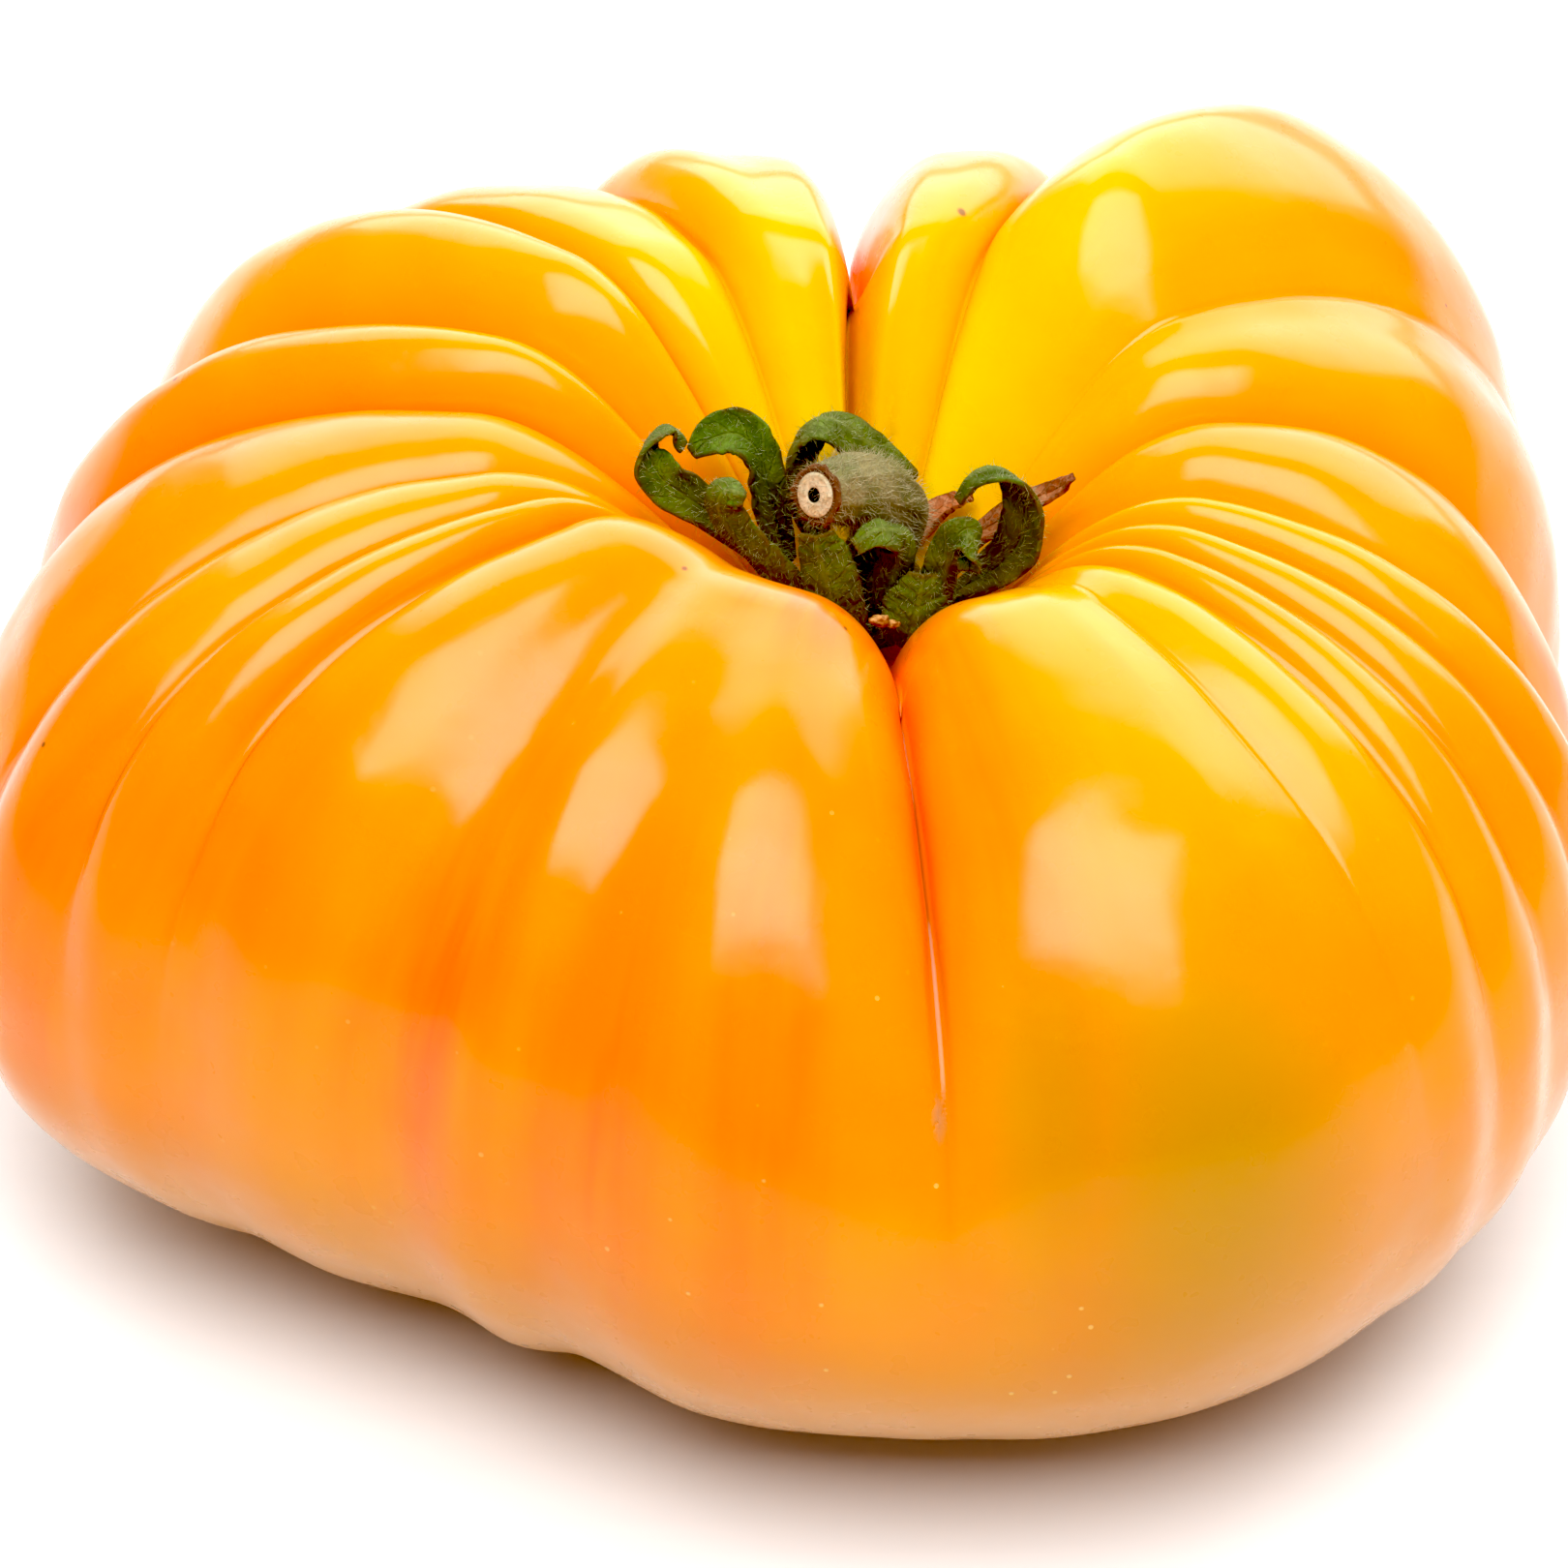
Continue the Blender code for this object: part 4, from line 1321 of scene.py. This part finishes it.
@dataclass
class Down:
    """Fine pale hairs that stand on the calyx and the stub."""

    name: str
    density: float
    shortest: float
    longest: float
    radius: float = 0.014
    lean: float = 0.7
    tuft: int = 40

    def build(self, hosts: list[bpy.types.Object], finish: bpy.types.Material, seed: int,
              slot: Slot) -> bpy.types.Object:
        """Plant hairs on finished pieces and register them as one piece.

        Args:
            hosts: the pieces that carry the hairs.
            finish: the hairs' material.
            seed: what the random draws start from.
            slot: the record's material slot for the hairs.

        Returns:
            The finished piece.
        """
        draw = random.Random(seed)
        down = bmesh.new()
        graph = bpy.context.evaluated_depsgraph_get()
        for host in hosts:
            surface = host.evaluated_get(graph).to_mesh()
            roots = [(face.center.copy(), face.normal.copy()) for face in surface.polygons
                     if draw.random() < self.density * face.area / MM ** 2]
            host.evaluated_get(graph).to_mesh_clear()
            for start in range(0, len(roots), self.tuft):
                self.plant_tuft(down, roots[start:start + self.tuft], draw)
        mesh = bpy.data.meshes.new(self.name)
        down.to_mesh(mesh)
        down.free()
        piece = link_piece(self.name, mesh)
        mesh.materials.append(finish)
        return register(piece, slot)

    def plant_tuft(self, down: bmesh.types.BMesh, roots: list[tuple], draw: random.Random) -> None:
        """Make a small group of hairs by itself, which is quick, and add it to the rest.

        Args:
            down: the mesh that holds all of the hairs.
            roots: the place and normal of each hair's root.
            draw: the source of random numbers.
        """
        tuft = bmesh.new()
        for root, normal in roots:
            self.plant(tuft, root, normal, draw)
        sheaf = bpy.data.meshes.new("tuft")
        tuft.to_mesh(sheaf)
        tuft.free()
        down.from_mesh(sheaf)
        bpy.data.meshes.remove(sheaf)

    def plant(self, down: bmesh.types.BMesh, root: Vector, normal: Vector, draw: random.Random) -> None:
        """Add one thin cone that leans away from a surface.

        Args:
            down: the mesh to add it to.
            root: where it stands, in metres.
            normal: the direction that the surface faces.
            draw: the source of random numbers.
        """
        length = draw.uniform(self.shortest, self.longest) * MM
        slant = Vector((draw.uniform(-1, 1), draw.uniform(-1, 1), draw.uniform(-1, 1))) * self.lean
        way = (normal + slant).normalized()
        turn = way.to_track_quat("Z", "Y").to_matrix().to_4x4()
        seat = Matrix.Translation(root + way * length * 0.47) @ turn
        bmesh.ops.create_cone(down, cap_ends=False, segments=3, radius1=self.radius * MM,
                              radius2=self.radius * 0.25 * MM, depth=length, matrix=seat)


@dataclass
class Crumbs:
    """Tan shreds of the dried flower that are caught between the sepals."""

    foot: Vector
    seats: tuple = (((0.7, -8.9, 9.4), 0.75), ((1.5, -8.8, 9.0), 0.5),
                    ((-4.9, -8.3, 9.4), 0.45), ((-5.3, -8.0, 8.7), 0.3))

    def build(self) -> bpy.types.Object:
        """Build the shreds as lumpy flakes and register them."""
        lumps = bmesh.new()
        for number, (seat, size) in enumerate(self.seats):
            made = bmesh.ops.create_icosphere(lumps, subdivisions=3, radius=1.0)
            for vertex in made["verts"]:
                lump = 1 + 0.5 * noise.noise(vertex.co * 1.6 + Vector((number * 4.0, 0, 0)))
                shape = Vector((vertex.co.x, vertex.co.y * 0.45, vertex.co.z * 0.6)) * size * lump
                vertex.co = (shape + Vector(seat)) * MM + self.foot
        mesh = bpy.data.meshes.new("flower_shreds")
        lumps.to_mesh(mesh)
        lumps.free()
        piece = link_piece("flower_shreds", mesh)
        finish = FibreFinish("tan_shred", srgb(226, 176, 110), srgb(150, 96, 44), 2200.0)
        mesh.materials.append(finish.make())
        return register(piece, Slot.DRY)


@dataclass
class Calyx:
    """The sepals, the disc and the stub, with their down."""

    foot: Vector

    def finishes(self) -> dict[str, bpy.types.Material]:
        """Return the calyx materials by name."""
        back = LeafFinish("sepal_back", srgb(104, 122, 42), srgb(76, 92, 20), srgb(138, 148, 78),
                          srgb(140, 146, 98), srgb(112, 84, 40))
        face = LeafFinish("sepal_face", srgb(106, 130, 42), srgb(72, 92, 20), srgb(132, 146, 68),
                          srgb(124, 130, 78), srgb(92, 66, 28), bloom_share=0.2)
        dry = LeafFinish("sepal_dry", srgb(214, 130, 84), srgb(160, 84, 48), srgb(232, 170, 120),
                         srgb(236, 190, 150), srgb(120, 64, 36), srgb(170, 96, 58), 0.25)
        return {"back": back.make(), "face": face.make(), "dry": dry.make()}

    def build(self) -> list[bpy.types.Object]:
        """Build every part of the calyx and return the pieces."""
        finishes = self.finishes()
        hair = FibreFinish("down_hair", srgb(216, 220, 186), srgb(150, 158, 108), 1200.0, 0.55).make()
        tan_hair = FibreFinish("stub_hair", srgb(214, 204, 168), srgb(160, 146, 104), 1200.0, 0.55).make()
        disc = CalyxBase(self.foot).build(finishes["back"])
        stub = StemStub(self.foot).build(StubFinish().make())
        leaves = [Sepal(self.foot, name, rows, 1.7 * index).build(finishes)
                  for index, (name, rows) in enumerate(SEPALS.items())]
        bpy.context.view_layer.update()
        green = [leaf for leaf in leaves if "dry" not in leaf.name]
        leaf_down = Down("leaf_down", 5.5, 0.25, 0.75).build(green + [disc], hair, 11, Slot.CALYX)
        stub_down = Down("stub_down", 9.0, 0.35, 1.1, 0.018).build([stub], tan_hair, 12, Slot.STEM)
        return [disc, stub, *leaves, leaf_down, stub_down, Crumbs(self.foot).build()]


# The studio ---------------------------------------------------------------------------------


@dataclass(frozen=True)
class SoftBox:
    """A rectangular soft light: its direction from the fruit, distance, size and strength."""

    name: str
    azimuth: float
    elevation: float
    distance: float
    width: float
    height: float
    radiance: float


@dataclass
class Studio:
    """The pale floor, the soft lights and the camera.

    Aim is in millimetres, floor_size and the boxes' distances and sizes in metres. The picture is
    frame_size units on a side, and aim_offset is how far the aim is from its middle in those units.
    """

    aim: tuple = (-0.9, 2.5, 28.0)
    camera_elevation: float = 39.0
    camera_distance: float = 430.0
    lens: float = 135.7
    frame_size: int = 1620
    aim_offset: tuple = (-22.0, 20.0)
    floor_size: float = 6.0
    world: float = 0.18
    black_level: float = 0.042
    boxes: tuple = (
        SoftBox("box_front", -91, 69, 1.2, 1.1, 0.9, 6.3),
        SoftBox("panel_back", 80, 34, 1.2, 1.9, 1.25, 3.1),
    )

    def build_floor(self) -> None:
        """Lay the floor just under the fruit."""
        slab = bmesh.new()
        bmesh.ops.create_grid(slab, x_segments=8, y_segments=8, size=self.floor_size / 2)
        mesh = bpy.data.meshes.new("floor")
        slab.to_mesh(mesh)
        slab.free()
        low = CAD_BOX[0].z
        mesh.transform(Matrix.Translation((0, 0, low)))
        floor = link_piece("floor", mesh)
        mesh.materials.append(FloorFinish().make())

    def place_lights(self) -> None:
        """Hang the soft boxes and set the even light of the room."""
        room = bpy.data.worlds.new("room")
        room.use_nodes = True
        backdrop = room.node_tree.nodes["Background"]
        backdrop.inputs["Color"].default_value = (1.0, 1.0, 1.0, 1.0)
        backdrop.inputs["Strength"].default_value = self.world
        bpy.context.scene.world = room
        target = Vector(self.aim) * MM
        for box in self.boxes:
            lamp = bpy.data.lights.new(box.name, "AREA")
            lamp.shape = "RECTANGLE"
            lamp.size, lamp.size_y = box.width, box.height
            lamp.energy = box.radiance * math.pi * box.width * box.height
            item = bpy.data.objects.new(box.name, lamp)
            bpy.context.scene.collection.objects.link(item)
            turn, rise = math.radians(box.azimuth), math.radians(box.elevation)
            way = Vector((math.cos(turn) * math.cos(rise), math.sin(turn) * math.cos(rise), math.sin(rise)))
            item.location = target + way * box.distance
            item.rotation_euler = way.to_track_quat("Z", "Y").to_euler()

    def place_camera(self) -> None:
        """Stand the camera in front of and above the fruit."""
        data = bpy.data.cameras.new("camera")
        data.sensor_width = 36.0
        data.lens = self.lens
        data.shift_x = -self.aim_offset[0] / self.frame_size
        data.shift_y = -self.aim_offset[1] / self.frame_size
        data.clip_end = 20.0
        camera = bpy.data.objects.new("camera", data)
        bpy.context.scene.collection.objects.link(camera)
        rise = math.radians(self.camera_elevation)
        back = Vector((0, -math.cos(rise), math.sin(rise)))
        camera.location = (Vector(self.aim) + back * self.camera_distance) * MM
        camera.rotation_euler = (math.pi / 2 - rise, 0, 0)
        bpy.context.scene.camera = camera

    def build(self) -> None:
        """Set up the whole studio."""
        view = bpy.context.scene.view_settings
        view.view_transform = "Standard"
        view.use_curve_mapping = True
        view.curve_mapping.black_level = (self.black_level,) * 3
        view.curve_mapping.update()
        self.place_camera()
        self.place_lights()
        self.build_floor()


def main() -> None:
    """Build the studio and the tomato."""
    logging.basicConfig(level=logging.INFO, format="%(name)s: %(message)s")
    foot = stem_foot()
    Studio().build()
    pieces = [Fruit(foot).build(), BlossomScar(foot).build(), *Calyx(foot).build()]
    LOG.info("%d pieces", len(pieces))


if __name__ == "__main__":
    main()
